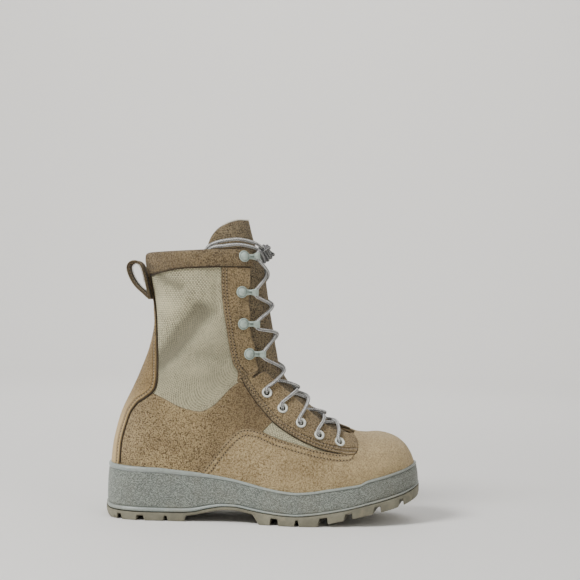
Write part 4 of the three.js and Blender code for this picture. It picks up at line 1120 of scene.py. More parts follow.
def stitch_tree():
    """Geometry Nodes: bars of thread along each line, with a dark dot of painted shade for a needle hole
    between them.
    """
    name = "Row of stitches"
    if name in bpy.data.node_groups:
        return bpy.data.node_groups[name]
    n = Tree(name, [("Lines", "NodeSocketGeometry", None), ("Pitch", "NodeSocketFloat", 0.0031),
                    ("Length", "NodeSocketFloat", 0.0021), ("Thickness", "NodeSocketFloat", 0.0009),
                    ("Hole", "NodeSocketFloat", 0.0013), ("Thread", "NodeSocketMaterial", None),
                    ("Shade", "NodeSocketMaterial", None)], "Stitches")
    points, out = n.steps(n.times(n.source["Pitch"], 0.5))
    tangent = n.add("GeometryNodeInputTangent").outputs[0]
    along = n.add("FunctionNodeAlignRotationToVector", {"Vector": tangent}, axis="Z")
    seated = n.add("FunctionNodeAlignRotationToVector",
                   {"Rotation": along.outputs["Rotation"], "Vector": out}, axis="X",
                   pivot_axis="Z").outputs["Rotation"]
    ball = n.add("GeometryNodeMeshUVSphere", {"Segments": 7, "Rings": 5, "Radius": 0.5}).outputs["Mesh"]
    bar = n.add("ShaderNodeCombineXYZ",
                {"X": n.source["Thickness"], "Y": n.source["Thickness"], "Z": n.source["Length"]})
    bar = n.add("GeometryNodeTransform", {"Geometry": ball, "Scale": bar.outputs[0]}).outputs["Geometry"]
    flat = n.add("ShaderNodeCombineXYZ",
                 {"X": n.times(n.source["Hole"], 0.35), "Y": n.source["Hole"], "Z": n.source["Hole"]})
    hole = n.add("GeometryNodeTransform", {"Geometry": ball, "Scale": flat.outputs[0]}).outputs["Geometry"]
    odd = n.maths("MODULO", n.add("GeometryNodeInputIndex").outputs[0], 2.0)
    threads = n.made(points, bar, seated, n.source["Thread"], n.minus(1.0, odd))
    # The needle holes are dark dots: painted shade in the holes.
    holes = n.made(points, hole, seated, n.source["Shade"], odd)
    both = n.add("GeometryNodeJoinGeometry")
    n.put(both.inputs[0], threads)
    n.put(both.inputs[0], holes)
    n.put(n.out, both.outputs[0])
    return n.tree


def fray_tree():
    """Geometry Nodes: short loose fibres that stand on a cut edge."""
    n = Tree("Frayed edge", [("Lines", "NodeSocketGeometry", None), ("Step", "NodeSocketFloat", 0.0003),
                             ("Length", "NodeSocketFloat", 0.0017), ("Seed", "NodeSocketInt", 7),
                             ("Thread", "NodeSocketMaterial", None)], "Fibres")
    points, _ = n.steps(n.source["Step"])
    lean = n.add("FunctionNodeRandomValue",
                 {"Min": (-0.9, -0.9, 0.25), "Max": (0.9, 0.9, 1.0), "Seed": n.source["Seed"]},
                 data_type="FLOAT_VECTOR")
    turn = n.add("FunctionNodeAlignRotationToVector", {"Vector": lean.outputs["Value"]}, axis="Z")
    size = n.add("FunctionNodeRandomValue", {2: 0.5, 3: 1.3, "Seed": n.plus(n.source["Seed"], 3)},
                 data_type="FLOAT")
    fibre = n.add("GeometryNodeMeshCylinder", {"Vertices": 5, "Radius": 0.00013, "Depth": n.source["Length"]})
    up = n.add("ShaderNodeCombineXYZ", {"Z": n.times(n.source["Length"], 0.4)})
    raised = n.add("GeometryNodeTransform", {"Geometry": fibre.outputs["Mesh"], "Translation": up.outputs[0]})
    n.put(n.out, n.made(points, raised.outputs["Geometry"], turn.outputs["Rotation"], n.source["Thread"],
                        scale=size.outputs[1]))
    return n.tree


def run_nodes(name, lines, tree, values):
    """Runs a node tree over lines of points and keeps the plain mesh that it makes."""
    lines = [np.asarray(line, dtype=float) for line in lines]
    lines = [line if line.shape[1] == 6 else np.hstack([line, np.zeros_like(line)]) for line in lines]
    edges, count = [], 0
    for line in lines:
        edges += [(count + k, count + k + 1) for k in range(len(line) - 1)]
        count += len(line)
    rows = np.vstack(lines)
    guide_mesh = bpy.data.meshes.new(name + "_lines")
    guide_mesh.from_pydata((rows[:, :3] * MM).tolist(), edges, [])
    ways = guide_mesh.attributes.new("out", "FLOAT_VECTOR", "POINT").data
    ways.foreach_set("vector", rows[:, 3:].astype(np.float32).ravel())
    guide = bpy.data.objects.new(name + "_lines", guide_mesh)
    bpy.context.scene.collection.objects.link(guide)
    modifier = guide.modifiers.new("Build", "NODES")
    modifier.node_group = tree
    for item in tree.interface.items_tree:
        if item.item_type == "SOCKET" and item.in_out == "INPUT" and item.name in values:
            modifier[item.identifier] = values[item.name]
    bpy.context.view_layer.update()
    mesh = bpy.data.meshes.new_from_object(guide.evaluated_get(bpy.context.evaluated_depsgraph_get()))
    mesh.name = name
    mesh.shade_smooth()
    bpy.data.objects.remove(guide)
    piece = bpy.data.objects.new(name, mesh)
    bpy.context.scene.collection.objects.link(piece)
    return piece


def stitches(name, lines, slot_name, thick=0.0009):
    piece = run_nodes(name, lines, stitch_tree(),
                      {"Thickness": thick, "Thread": finish("Tan thread"), "Shade": finish("Needle hole")})
    return settle(piece, slot_name)


def seam_shade_cords(name, lines, radius, slot_name):
    """Dark cords sunk along seams, as one piece: they stand in for the shade in the seams' gaps."""
    parts = []
    for line in lines:
        parts.append(capped(tube_rings(np.asarray(line)[:, :3], radius, 8)))
    points, faces = joined(parts)
    piece = shaded(name, points, faces, finish("Seam shadow"))
    tidy_mesh(piece, 60)
    return settle(piece, slot_name)


def sewn(name, row_name, grid, shape, edge, skin, layer, rows, lift):
    """A leather panel with rows of stitches beside an edge of it."""
    settle(panel(name, grid, shape, finish(skin), *layer, beside(edge)), "suede")
    stitches(row_name, stitch_rows(grid, shape, edge, rows, lift), "suede")


def seam_shade_under(name, grid, shape, edge, inset, lift, radius):
    """A dark cord under a panel, along one edge of it: painted shade in the seam."""
    rows = stitch_rows(grid, lambda *a: shape(*a) + inset, edge, (0.0,), lift)
    seam_shade_cords(name, rows, radius, "suede")


# Each panel's face over the last, its back, the width of its rounded edge and how far that drops.
LAYERS = {
    "vamp": (0.95, -0.7, 1.0, 0.8), "quarters": (0.25, -1.0, 1.0, 0.8), "canvas": (-0.45, -1.1, 0.5, 0.2),
    "facings": (0.45, -1.0, 0.9, 0.8), "eyestays": (1.15, -0.6, 0.9, 0.8), "backstay": (1.5, -0.8, 1.1, 1.1),
}
# How far the rows of stitches lie from the edge that they hold down.
VAMP_LANES, FACING_LANES, BACKSTAY_LANES = (2.0, 6.6), (2.2, 5.2), (2.6,)


def make_vamp():
    sewn("vamp", "vamp_stitches", vamp_grid(), cut_by(VAMP), smooth_line(VAMP_EDGE), "Vamp suede",
         LAYERS["vamp"], VAMP_LANES, 0.98)


def make_quarters():
    settle(panel("quarters", wrap_grid(), cut_by(QUARTER), finish("Quarter suede"), *LAYERS["quarters"]),
           "suede")


def make_canvas():
    for name, line in (("shaft_canvas", CANVAS), ("gusset_canvas", GUSSET)):
        settle(panel(name, wrap_grid(), cut_by(line), finish("Shaft canvas"), *LAYERS["canvas"]), "suede")


def make_facings():
    sewn("lace_facings", "facing_stitches", wrap_grid(), cut_by(FACING), smooth_line(CANVAS_FRONT),
         "Facing suede", LAYERS["facings"], FACING_LANES, 0.5)


def make_eyestays():
    """The eyestays, which stand higher where they end over the vamp."""
    shape = cut_by(EYESTAY, holes=True)
    edge = smooth_line(EYESTAY_EDGE)
    face, *rest = LAYERS["eyestays"]

    def high(at, c):
        return face + 0.9 * np.clip((8.3 - at) / 1.2, 0, 1)
    sewn("eyestays", "eyestay_stitches", wrap_grid(), shape, edge, "Facing suede", (high, *rest),
         FACING_LANES, 1.2)
    seam_shade_under("eyestay_seam", wrap_grid(), shape, edge, 0.5, 0.45, 0.36)


def make_backstay():
    shape = cut_by(BACKSTAY)
    edge = smooth_line(BACKSTAY_EDGE)
    sewn("backstay", "backstay_stitches", wrap_grid(), shape, edge, "Backstay suede", LAYERS["backstay"],
         BACKSTAY_LANES, 1.55)
    seam_shade_under("backstay_seam", wrap_grid(), shape, edge, 0.9, 0.35, 0.85)


def make_lining():
    """The lining and inner wall, open at the collar, the throat and underneath."""
    grid = Cloth(0.03, 1.97, 145, 2.2, 1.0, 27.6)

    def shape(at, c, points, out):
        d = np.minimum(above_rim(points, 22.0), FAR)
        d = np.minimum(d, np.where(upper_side(c), throat_distance(at, points) - 1.2, FAR))
        return np.minimum(d, eyelet_distance(points) + 0.2)
    piece = panel("lining", grid, shape, finish("Lining mesh"), -1.15, under_wall(0), 0.6, 0.3, bound=1.0)
    settle(piece, "suede", "upper")


FRAY_FROM = 281  # the height over the floor at which the tongue's edge starts to fray


def make_tongue():
    """The tongue, its lining and the loose fibres along its top edge."""
    grid = Cloth(-0.56, 0.56, 121, 1.3, 6.3, 30.0)

    def free(at, c, points, out):
        turn = 1 - 2 * np.abs(c)
        wide = section(at, "wide")
        rise = np.sin(np.abs(turn) * math.pi / 2) ** (2 / section(at, "top"))
        share = np.where(turn >= 0, wide + (1 - wide) * rise, wide * (1 - rise))
        return np.minimum((share - read(TONGUE, at)) * 150, inside(TONGUE_TOP, points, out))
    face = panel("tongue", grid, free, finish("Tongue suede"), under_wall(1.2), under_wall(4.4), 1.0, 0.9)
    settle(face, "tongue_suede", "tongue")
    rough = Cloth(-0.56, 0.56, 91, 1.9, 6.3, 30.0)
    back = panel("tongue_lining", rough, lambda *a: free(*a) - 0.8, finish("Lining mesh"), under_wall(4.3),
                 under_wall(5.3), 0.6, 0.3)
    settle(back, "tongue_suede")
    rows = []
    for depth in (1.5, 2.6, 3.8, 4.8):
        rows += contour(grid, free, 0.2, lambda p, c: p[:, 2] > FRAY_FROM, under_wall(depth))
    settle(run_nodes("tongue_fray", rows, fray_tree(), {"Thread": finish("Cream fray")}), "tongue_suede")


def slice_at_height(c, height_line):
    """The slice at which each column of the shaft crosses a line of heights along x."""
    a, b = np.full_like(c, 22.0), np.full_like(c, COLLAR)
    for _ in range(26):
        mid = (a + b) / 2
        p = last_points(mid, c)
        below = p[..., 2] < read(height_line, p[..., 0])
        a, b = np.where(below, mid, a), np.where(below, b, mid)
    return (a + b) / 2


def make_collar():
    """The padded band: up the outside, over a rolled top and down the inside."""
    columns = 220
    half = 23.2
    c_try = np.linspace(0.05, 0.5, 400)
    y = last_points(np.full_like(c_try, 27.4), c_try)[:, 1]
    c_edge = float(np.interp(half, y, c_try))
    c = np.linspace(c_edge, 2 - c_edge, columns)
    start = slice_at_height(c, BAND_LINE)
    top_at = 27.75
    outer = [(0.0, -0.5), (0.0, 0.35), (0.02, 0.8), (0.06, 1.1), (0.14, 1.35), (0.26, 1.6), (0.4, 1.8),
             (0.55, 1.95), (0.7, 2.0), (0.85, 1.9), (1.0, 1.5)]
    loops = [surface(start + (top_at - start) * share, c) for share, _ in outer]
    path = [p + out * height for (p, out), (_, height) in zip(loops, outer)]
    top, out = surface(np.full_like(c, top_at), c)
    over, _ = surface(np.full_like(c, top_at + 0.2), c)
    rise = unit(over - top)
    thick = wall(np.full_like(c, top_at), c)[:, None]
    for angle in np.radians([20, 45, 70, 90, 110, 135, 160]):
        swing = (1.5 + thick) / 2
        path.append(top + out * (1.5 - swing + swing * math.cos(angle)) + rise * 3.4 * math.sin(angle))
    inside_depth, last_share = 1.6, 0.72
    for share in (0.0, 0.12, 0.28, 0.45, 0.6, last_share):
        at = top_at - inside_depth * share
        p, n = surface(np.full_like(c, at), c)
        path.append(p - n * (wall(np.full_like(c, at), c)[:, None] + 0.35 * math.sin(math.pi * share)))
    path.append(p - n * (wall(np.full_like(c, at), c)[:, None] - 1.4))
    rings = np.stack(path, axis=1)
    squeeze = np.clip(np.minimum(np.arange(columns), columns - 1 - np.arange(columns)) / 2.5, 0, 1)
    middle = rings.mean(axis=1, keepdims=True)
    rings = middle + (rings - middle) * (0.75 + 0.25 * np.sqrt(1 - (1 - squeeze) ** 2))[:, None, None]
    length = run_length(top)
    steps = np.linalg.norm(np.diff(rings, axis=1), axis=2)
    drop = np.concatenate([np.zeros((columns, 1)), np.cumsum(steps, axis=1)], axis=1)
    uv = np.stack([np.repeat(length[:, None], rings.shape[1], 1), drop], -1)
    along_edge = np.minimum(length, length[-1] - length)[:, None] + 0 * drop
    edge = np.minimum(np.clip(drop - 0.8, 0, FAR), along_edge)
    piece = loft("collar_band", rings, finish("Collar suede"), {"edge": edge, "seam": drop}, uv)
    settle(piece, "suede")
    below, n = surface(start - 0.05, c)
    seam_shade_cords("collar_seam", [(below + n * 0.4)[5:-5]], 0.65, "suede")


def tube_rings(points, radius, around):
    """Rings round a line of points, without twist."""
    points = np.asarray(points, dtype=float)
    tangent = unit(np.gradient(points, axis=0))
    normal = np.cross(tangent[0], [0.3, 0.2, 0.9])
    normal /= np.linalg.norm(normal)
    angle = np.linspace(0, 2 * math.pi, around, endpoint=False)
    rings = []
    radii = np.broadcast_to(radius, (len(points), around))
    for p, t, r in zip(points, tangent, radii):
        normal = normal - t * np.dot(normal, t)
        normal /= np.linalg.norm(normal)
        third = np.cross(t, normal)
        rings.append(p + r[:, None] * (np.cos(angle)[:, None] * normal + np.sin(angle)[:, None] * third))
    return np.array(rings)


# ---- Sole ----

def plan_points(x_share, inset, heel_inset=None, toe_inset=None):
    """The sole's outline at shares 0..1 outer side to the toe and 1..2 back, drawn in."""
    heel = -151 + (inset if heel_inset is None else heel_inset)
    toe = 151 - (inset if toe_inset is None else toe_inset)
    x = (heel + toe) / 2 - (toe - heel) / 2 * np.cos(math.pi * x_share)
    side = np.where(x_share <= 1, -1.0, 1.0)
    wide = half_width(x, inset, heel, toe)
    wide = np.where((x_share % 1.0) < 1e-9, 0.0, wide)
    return x, read(MIDDLE, x) + side * wide


def make_midsole():
    """The cup: rib over the parting line, a textured wall and a smooth rim band."""
    share = np.linspace(0, 2, 720, endpoint=False)
    profile = [
        (0, 8, 0.6), (0, 2.2, 0.55), (0.012, 0.6, 0), (0.024, -0.15, 0), (0.04, -0.5, 0), (0.06, -0.6, 0),
        (0.078, -0.35, 0), (0.09, 0.1, 0), (0.105, 0.45, 0), (0.125, 0.3, 0), (0.2, 0, 0), (0.26, -0.1, 0),
        (0.34, -0.15, 0), (0.42, -0.22, 0), (0.5, -0.25, 0), (0.58, -0.22, 0), (0.66, -0.15, 0), (0.74, 0, 0),
        (0.83, 0.15, 0), (0.87, 0.55, 0), (0.885, 0.65, 0), (0.9, 0.2, 0), (0.92, -0.15, 0), (0.95, -0.25, 0),
        (0.978, 0, 0), (0.995, 0.5, 0), (1, 1.2, 0), (1, 2.6, -0.15), (1, 4, -0.5), (1, 6.5, -3), (1, 8, -9),
    ]
    rings, rise_values = [], []
    for up, more, lift in profile:
        inset, heel, toe = (np.interp(up, [0, 0.12, 0.88, 1], [0.6, 0.8, *ends]) + more
                            for ends in ((2.2, 2.8), (1.2, 1.6), (3, 3.8)))
        x, y = plan_points(share, inset, heel, toe)
        z = read(SIDE, x, LINE) * (1 - up) + read(SIDE, x, RIM) * up + lift
        wave = 0.16 * np.sin(x / 3.1 + z / 1.7 + np.sin(z / 2.3) * 1.5) * np.sin(x / 5.3 - z / 2.9)
        wave = wave * (0.2 < up < 0.84)
        rings.append(np.stack([x, y + wave * np.where(share < 1, -1, 1), z], -1))
        rise_values.append(np.full_like(x, up if more < 2 else (0.95 if up > 0.5 else 0.0)))
    rings = np.swapaxes(np.array(rings), 0, 1)
    rise_values = np.swapaxes(np.array(rise_values), 0, 1)
    along = run_length(rings[:, 12])
    uv = np.stack([np.repeat(along[:, None], len(profile), 1), rings[..., 2]], -1)
    piece = loft("midsole", rings, finish("Sidewall rubber"), {"rise": rise_values}, uv, closed_path=True)
    settle(piece, "sidewall_rubber", "midsole")


def groove_mask(x, y):
    """1 in the tread's grooves and 0 on its lugs, with sloping sides."""
    middle = read(MIDDLE, x)
    q = np.abs(y - middle)
    mask = np.zeros_like(x)
    for centre, wide in EDGE_GROOVES:
        line = centre - 4 + 13 * (70 - q) / 58
        off = np.abs(x - line) - wide / 2
        mask = np.maximum(mask, np.clip(0.5 - off / 0.9, 0, 1) * (q > MIDDLE_BAND))
    for centre, wide in MIDDLE_GROOVES:
        off = np.maximum(np.abs(x - centre) - wide / 2, q - MIDDLE_BAND - 1)
        mask = np.maximum(mask, np.clip(0.5 - off / 0.9, 0, 1))
    sipe = np.abs(q - 26 - 2.5 * np.sin(x / 6)) - 0.7
    mask = np.maximum(mask, 0.4 * np.clip(0.5 - sipe / 0.6, 0, 1))
    return mask


def make_outsole():
    """The tread: lugs with drafted sides, an open arch and a plain band over them."""
    count, across = 640, 91
    share = np.linspace(0, 1, count)
    v = np.sin(np.linspace(-1, 1, across) * math.pi / 2 * 0.97) / math.sin(math.pi / 2 * 0.97)
    x0, outer_y = plan_points(share, 0.5)
    _, inner_y = plan_points(2 - share, 0.5)
    inner_y = np.where((share == 0) | (share == 1), outer_y, inner_y)
    x = np.repeat(x0[:, None], across, 1)
    y = (outer_y + inner_y)[:, None] / 2 + v[None, :] * (inner_y - outer_y)[:, None] / 2
    mask = groove_mask(x, y)
    arch = np.clip((x - HEEL_BREAST) / 1.2, 0, 1) * np.clip((FOREPART_START + 2 - x) / 6.0, 0, 1)
    tread, root = read(SIDE, x, TREAD), read(SIDE, x, ROOT)
    edge = np.clip((1 - np.abs(v)) * 40, 0, 1)[None, :]
    low = tread + (1 - edge) * 0.5
    z = low + (np.maximum(root, low) - low) * np.maximum(mask, arch)
    bottom = np.stack([x, y, z], -1)
    # Painted shade: 1 in the grooves and across the arch.
    groove = np.maximum(mask, arch)
    levels = [(0.0, 0.25), (0.0, 0.6), (0.0, 0.92), (0.5, 1.0), (4.0, 1.0)]
    points = [bottom.reshape(-1, 3)]
    shade = [groove.ravel()]
    faces = []
    index = np.arange(count * across).reshape(count, across)
    for r in range(count - 1):
        faces += [(index[r, k], index[r + 1, k], index[r + 1, k + 1], index[r, k + 1])
                  for k in range(across - 1)]
    rim_loop = [index[r, 0] for r in range(count)] + [index[r, across - 1] for r in range(count - 2, 0, -1)]
    loop_share = np.concatenate([share, 2 - share[count - 2:0:-1]])
    before, total = rim_loop, count * across
    edge_z = bottom.reshape(-1, 3)[rim_loop][:, 2]
    for inset, up in levels:
        px, py = plan_points(loop_share, inset)
        line = read(SIDE, px, LINE) - 0.15
        points.append(np.stack([px, py, edge_z + (line - edge_z) * up], -1))
        # Painted shade: 0.6 along the top of the band, under the cup.
        shade.append(np.full(len(px), 0.0 if up < 1 else 0.6))
        now = list(range(total, total + len(px)))
        n = len(now)
        faces += [(before[i], now[i], now[(i + 1) % n], before[(i + 1) % n]) for i in range(n)]
        before, total = now, total + n
    n = len(before)
    for i in range(1, n // 2):
        faces.append((before[i], before[i + 1], before[(n - i - 1) % n], before[(n - i) % n]))
    faces += [(before[0], before[1], before[n - 1])]
    points = np.vstack(points)
    piece = shaded("outsole", points, [tuple(int(k) for k in f) for f in faces], finish("Tread rubber"),
                   {"groove": np.concatenate(shade)})
    tidy_mesh(piece)
    settle(piece, "outsole_rubber", "outsole")


def tidy_mesh(piece, sharp=38):
    """Merges doubled points, turns faces outwards and keeps the sharp edges sharp."""
    mesh = bmesh.new()
    mesh.from_mesh(piece.data)
    bmesh.ops.remove_doubles(mesh, verts=mesh.verts, dist=2e-6)
    bmesh.ops.dissolve_degenerate(mesh, edges=mesh.edges, dist=1e-7)
    bmesh.ops.recalc_face_normals(mesh, faces=mesh.faces)
    mesh.to_mesh(piece.data)
    mesh.free()
    piece.data.set_sharp_from_angle(angle=math.radians(sharp))


def make_insole():
    """The dished footbed under its knitted cover."""
    steps = 120
    share = np.linspace(0, 1, steps)
    heel, toe = -135.0, 139.5
    x = (heel + toe) / 2 - (toe - heel) / 2 * np.cos(math.pi * share)
    wide = np.where((share == 0) | (share == 1), 0.02, half_width(x, 13.5, heel, toe))
    middle = read(MIDDLE, x)
    floors = np.array([[row[2], row[3]] for row in SLICES[:15]][::-1])
    base = read(floors, x) + 0.8
    rings = []
    around = np.linspace(0, 2 * math.pi, 40, endpoint=False)
    for k in range(steps):
        y = middle[k] + wide[k] * squared(np.cos(around), 0.6)
        side = np.abs(np.cos(around))
        top = 3.6 + 1.6 * side**4
        z = base[k] + np.where(np.sin(around) > 0, top * np.abs(np.sin(around)) ** 0.3, 0)
        rings.append(np.stack([np.full_like(y, x[k]), y, z], -1))
    uv = np.array(rings)[..., :2]
    settle(loft("insole", rings, finish("Lining mesh"), None, uv), "footbed_fabric", "insole")


def make_pull_loop():
    """A strap folded into a drop and sewn under the collar and the backstay."""
    centre = smooth_line([
        (-113.8, 208.2), (-118.6, 213.2), (-127.2, 220.9), (-133, 230), (-135.2, 238),
        (-132.6, 242.5), (-127.0, 243.2), (-122.6, 239.2), (-119.6, 230.8), (-116.6, 219),
        (-113.8, 208.2)], 14)[:-1]
    count = len(centre)
    tangent = unit(np.roll(centre, -1, 0) - np.roll(centre, 1, 0))
    normal = np.stack([-tangent[:, 1], tangent[:, 0]], -1)
    around = np.linspace(0, 2 * math.pi, 56, endpoint=False)
    width, thick = 17.0, 1.25
    rings = []
    for k in range(count):
        w = width + 0.25 * math.sin(k / 5)
        y = w * squared(np.cos(around), 0.5)
        h = thick * squared(np.sin(around), 0.55)
        bow = 0.5 * (y / width) ** 2 * math.sin(math.pi * k / count)
        p = centre[k][None, :] + normal[k][None, :] * (h + bow)[:, None]
        rings.append(np.stack([p[:, 0], y, p[:, 1]], -1))
    rings = np.array(rings)
    edge = np.repeat(((1 - np.abs(np.cos(around))) * 9.0)[None, :], count, 0)
    length = run_length(centre)
    uv = np.stack([np.repeat(length[:, None], 56, 1), rings[..., 1]], -1)
    piece = loft("pull_loop", rings, finish("Strap leather"), {"edge": edge, "seam": edge}, uv,
                 closed_path=True)
    settle(piece, "strap_fabric", "pull_loop")
    rows = []
    for y in (-14.2, 14.2):
        for side in (-1, 1):
            line = centre + normal * (side * (thick + 0.05))
            rows.append(np.stack([line[:, 0], np.full(count, y), line[:, 1], side * normal[:, 0],
                                  np.zeros(count), side * normal[:, 1]], -1)[8:-20])
    stitches("pull_loop_stitches", rows, "strap_fabric", thick=0.0007)


# ---- Fittings ----

# How high over the last each fitting sits, and the lace over a hook's plate.
EYELET_LIFT, HOOK_LIFT, LACE_IN_HOOK = 1.25, 0.75, 3.35


def lathe(profile, segments=40):
    """Points and faces of a closed profile of (radius, height) turned about Z."""
    profile = np.asarray(profile, dtype=float)
    angle = np.linspace(0, 2 * math.pi, segments, endpoint=False)
    rings = np.stack([np.outer(np.cos(angle), profile[:, 0]), np.outer(np.sin(angle), profile[:, 0]),
                      np.repeat(profile[None, :, 1], segments, 0)], -1)
    return rings.reshape(-1, 3), tube_faces(segments, len(profile), False, True)


def joined(parts):
    """Several lists of points and faces as one."""
    points, faces, shift = [], [], 0
    for p, f in parts:
        points.append(p)
        faces += [tuple(int(v) + shift for v in face) for face in f]
        shift += len(p)
    return np.vstack(points), faces


def capped(rings):
    rings = np.asarray(rings, dtype=float)
    points = np.vstack([rings.reshape(-1, 3), rings[0].mean(0), rings[-1].mean(0)])
    return points, tube_faces(len(rings), rings.shape[1])


def eyelet_shape():
    turn = np.radians(np.linspace(180, 0, 9))
    roll = [(3.95 + 1.15 * math.cos(a), 0.15 + 1.1 * math.sin(a)) for a in turn]
    return lathe([(2.7, -2.6)] + [(2.75, -0.6)] + roll + [(5.0, -0.25), (3.4, -0.3), (3.1, -2.6)])


def hook_shape():
    """A riveted round plate whose waisted arm flares and curls back over the lace."""
    path, widths = [], []
    for x, wide in ((-2.0, 3.3), (0.0, 3.3), (3.0, 3.2), (5.2, 3.0), (7.0, 2.6), (8.8, 2.5),
                    (10.6, 2.8), (12.0, 3.2)):
        path.append((x, 0.75))
        widths.append(wide)
    for angle in np.radians(np.linspace(-78, 90, 11)):
        path.append((12.6 + 2.6 * math.cos(angle), 3.35 + 2.6 * math.sin(angle)))
        widths.append(3.5)
    for x, wide in ((11.4, 3.2), (10.2, 2.9), (9.2, 2.4), (8.6, 1.9)):
        path.append((x, 5.95))
        widths.append(wide)
    path = np.array(path)
    tangent = unit(np.gradient(path, axis=0))
    normal = np.stack([-tangent[:, 1], tangent[:, 0]], -1)
    around = np.linspace(0, 2 * math.pi, 20, endpoint=False)
    rings = []
    for p, n, w in zip(path, normal, widths):
        y = w * squared(np.cos(around), 0.55)
        h = 0.6 * squared(np.sin(around), 0.7)
        h = h + np.where(np.sin(around) > 0, 0.28 * np.cos(3.3 * math.pi * y / w) - 0.1, 0)
        rings.append(np.stack([p[0] + n[0] * h, y, p[1] + n[1] * h], -1))
    cap = lathe([(0.01, 0.0), (5.0, 0.0), (5.15, 0.9), (5.5, 1.2), (5.55, 1.7), (5.25, 2.15), (4.75, 2.3),
                 (4.45, 2.0), (4.2, 2.15), (3.5, 2.9), (2.4, 3.5), (1.2, 3.8), (0.01, 3.9)], 44)
    return joined([capped(rings), cap])


def groove_shade_of(points):
    """Where a fitting is painted darker as shade: the ring round its head, under its rim and along its arm.
    """
    x, y, z = points.T
    radius = np.hypot(x, y)
    ring = np.clip(1 - np.abs(radius - 4.4) / 0.35, 0, 1) * (z > 1.5)
    rim = (radius > 4.9) * (radius < 5.6) * (z < 1.3) * 0.9
    arm = (x > 5.6) * (x < 11.2) * (np.abs(y) < 0.7) * (z > 0.8) * (z < 2.5) * 0.8
    return np.maximum(np.maximum(ring, rim), arm)


def make_fittings():
    """Ten rolled eyelets and eight hooks, each seated square to the leather."""
    for kind, places, shape, paint, lift, level in (
            ("eyelet", EYELET_PLACES, eyelet_shape(), "Eyelet paint", EYELET_LIFT, False),
            ("hook", HOOK_PLACES, hook_shape(), "Hook paint", HOOK_LIFT, True)):
        points, faces = shape
        groove = groove_shade_of(points)
        for way, side in ((-1, "lateral"), (1, "medial")):
            for number, place in enumerate(places, 1):
                centre, out, forward, up = spot(place, way, lift, level)
                placed = centre + points @ np.array([forward, up, out])
                name = f"{kind}_{side}_{number}"
                piece = shaded(name + "_fitting", placed, faces, finish(paint), {"groove": groove})
                tidy_mesh(piece, 42)
                settle(piece, "painted_fittings", name)


# ---- Lace ----

LACE = 3.05
RING_STEP = 0.62
# Where the lace crosses the instep ridge between its stops, as slices of the last.
CROSSINGS = (8.15, 8.85, 9.95, 10.65, 12.2, 17.4, 21.1, 24.65)


def braided(name, points, yarn="Lace braid", size=LACE, ribs=0.12):
    """A round braided cord along points: its mesh, and the line that it follows."""
    line = smooth_line(points, 24)
    length = run_length(line)
    even = np.arange(0, length[-1], RING_STEP)
    line = np.stack([np.interp(even, length, line[:, k]) for k in range(3)], -1)
    for _ in range(3):
        line[1:-1] = line[1:-1] * 0.5 + (line[:-2] + line[2:]) * 0.25
    around = 16
    angle = np.linspace(0, 1, around, endpoint=False)
    s, a = np.meshgrid(even, angle, indexing="ij")
    along, turn = BRAID_TURNS * s, BRAID_STRANDS * a
    weave = np.maximum(np.sin(2 * math.pi * (along + turn)), np.sin(2 * math.pi * (along - turn)))
    rings = tube_rings(line, size / 2 - 0.08 + ribs * weave, around)
    uv = np.stack([s, a], -1)
    return loft(name, rings, finish(yarn), None, uv), line


def throat_turn(at):
    half = float(read(THROAT, np.array([at]))[0])
    turn = np.linspace(0, 1, 101)
    y = np.abs(last_points(np.full_like(turn, at), side_turn(turn, -1))[:, 1])
    return float(turn[np.argmax(y <= half)])


def lace_stop(place, way, hook):
    """Where the lace passes a stop: up through an eyelet, or round inside a hook's curl."""
    if hook:
        point, _, forward, up = spot(place, way, HOOK_LIFT + LACE_IN_HOOK, True)
        centre = point + forward * 12.5
        return [centre - up * 4.6 + forward * 2.8, centre - up * 2.3 + forward * 0.3, centre - forward * 0.2,
                centre + up * 2.3 + forward * 0.3, centre + up * 4.6 + forward * 2.8]
    centre, out, forward, up = spot(place, way, 0)
    return [centre + forward * 5.0 - out * 4.6 - up * 1.2, centre + forward * 0.6 - out * 3.9,
            centre + forward * 0.3 - out * 1.4 + up * 0.2, centre + forward * 1.2 + out * 1.0 + up * 0.8,
            centre + forward * 3.4 + out * 2.8 + up * 2.9]


def ridge_spot(at, lift):
    """A point over the instep ridge at a slice."""
    ridge = last_points(np.array([at]), np.array([0.0]))[0]
    along = last_points(np.array([at + 0.1]), np.array([0.0]))[0] - ridge
    out = np.array([-along[2], 0.0, along[0]])
    out *= (1 if out[0] > 0 else -1) / np.linalg.norm(out)
    ridge[1] = 0.0
    return ridge + out * lift


TOP_ENDS = {}  # where each side's run of lace leaves its top hook, for the knot


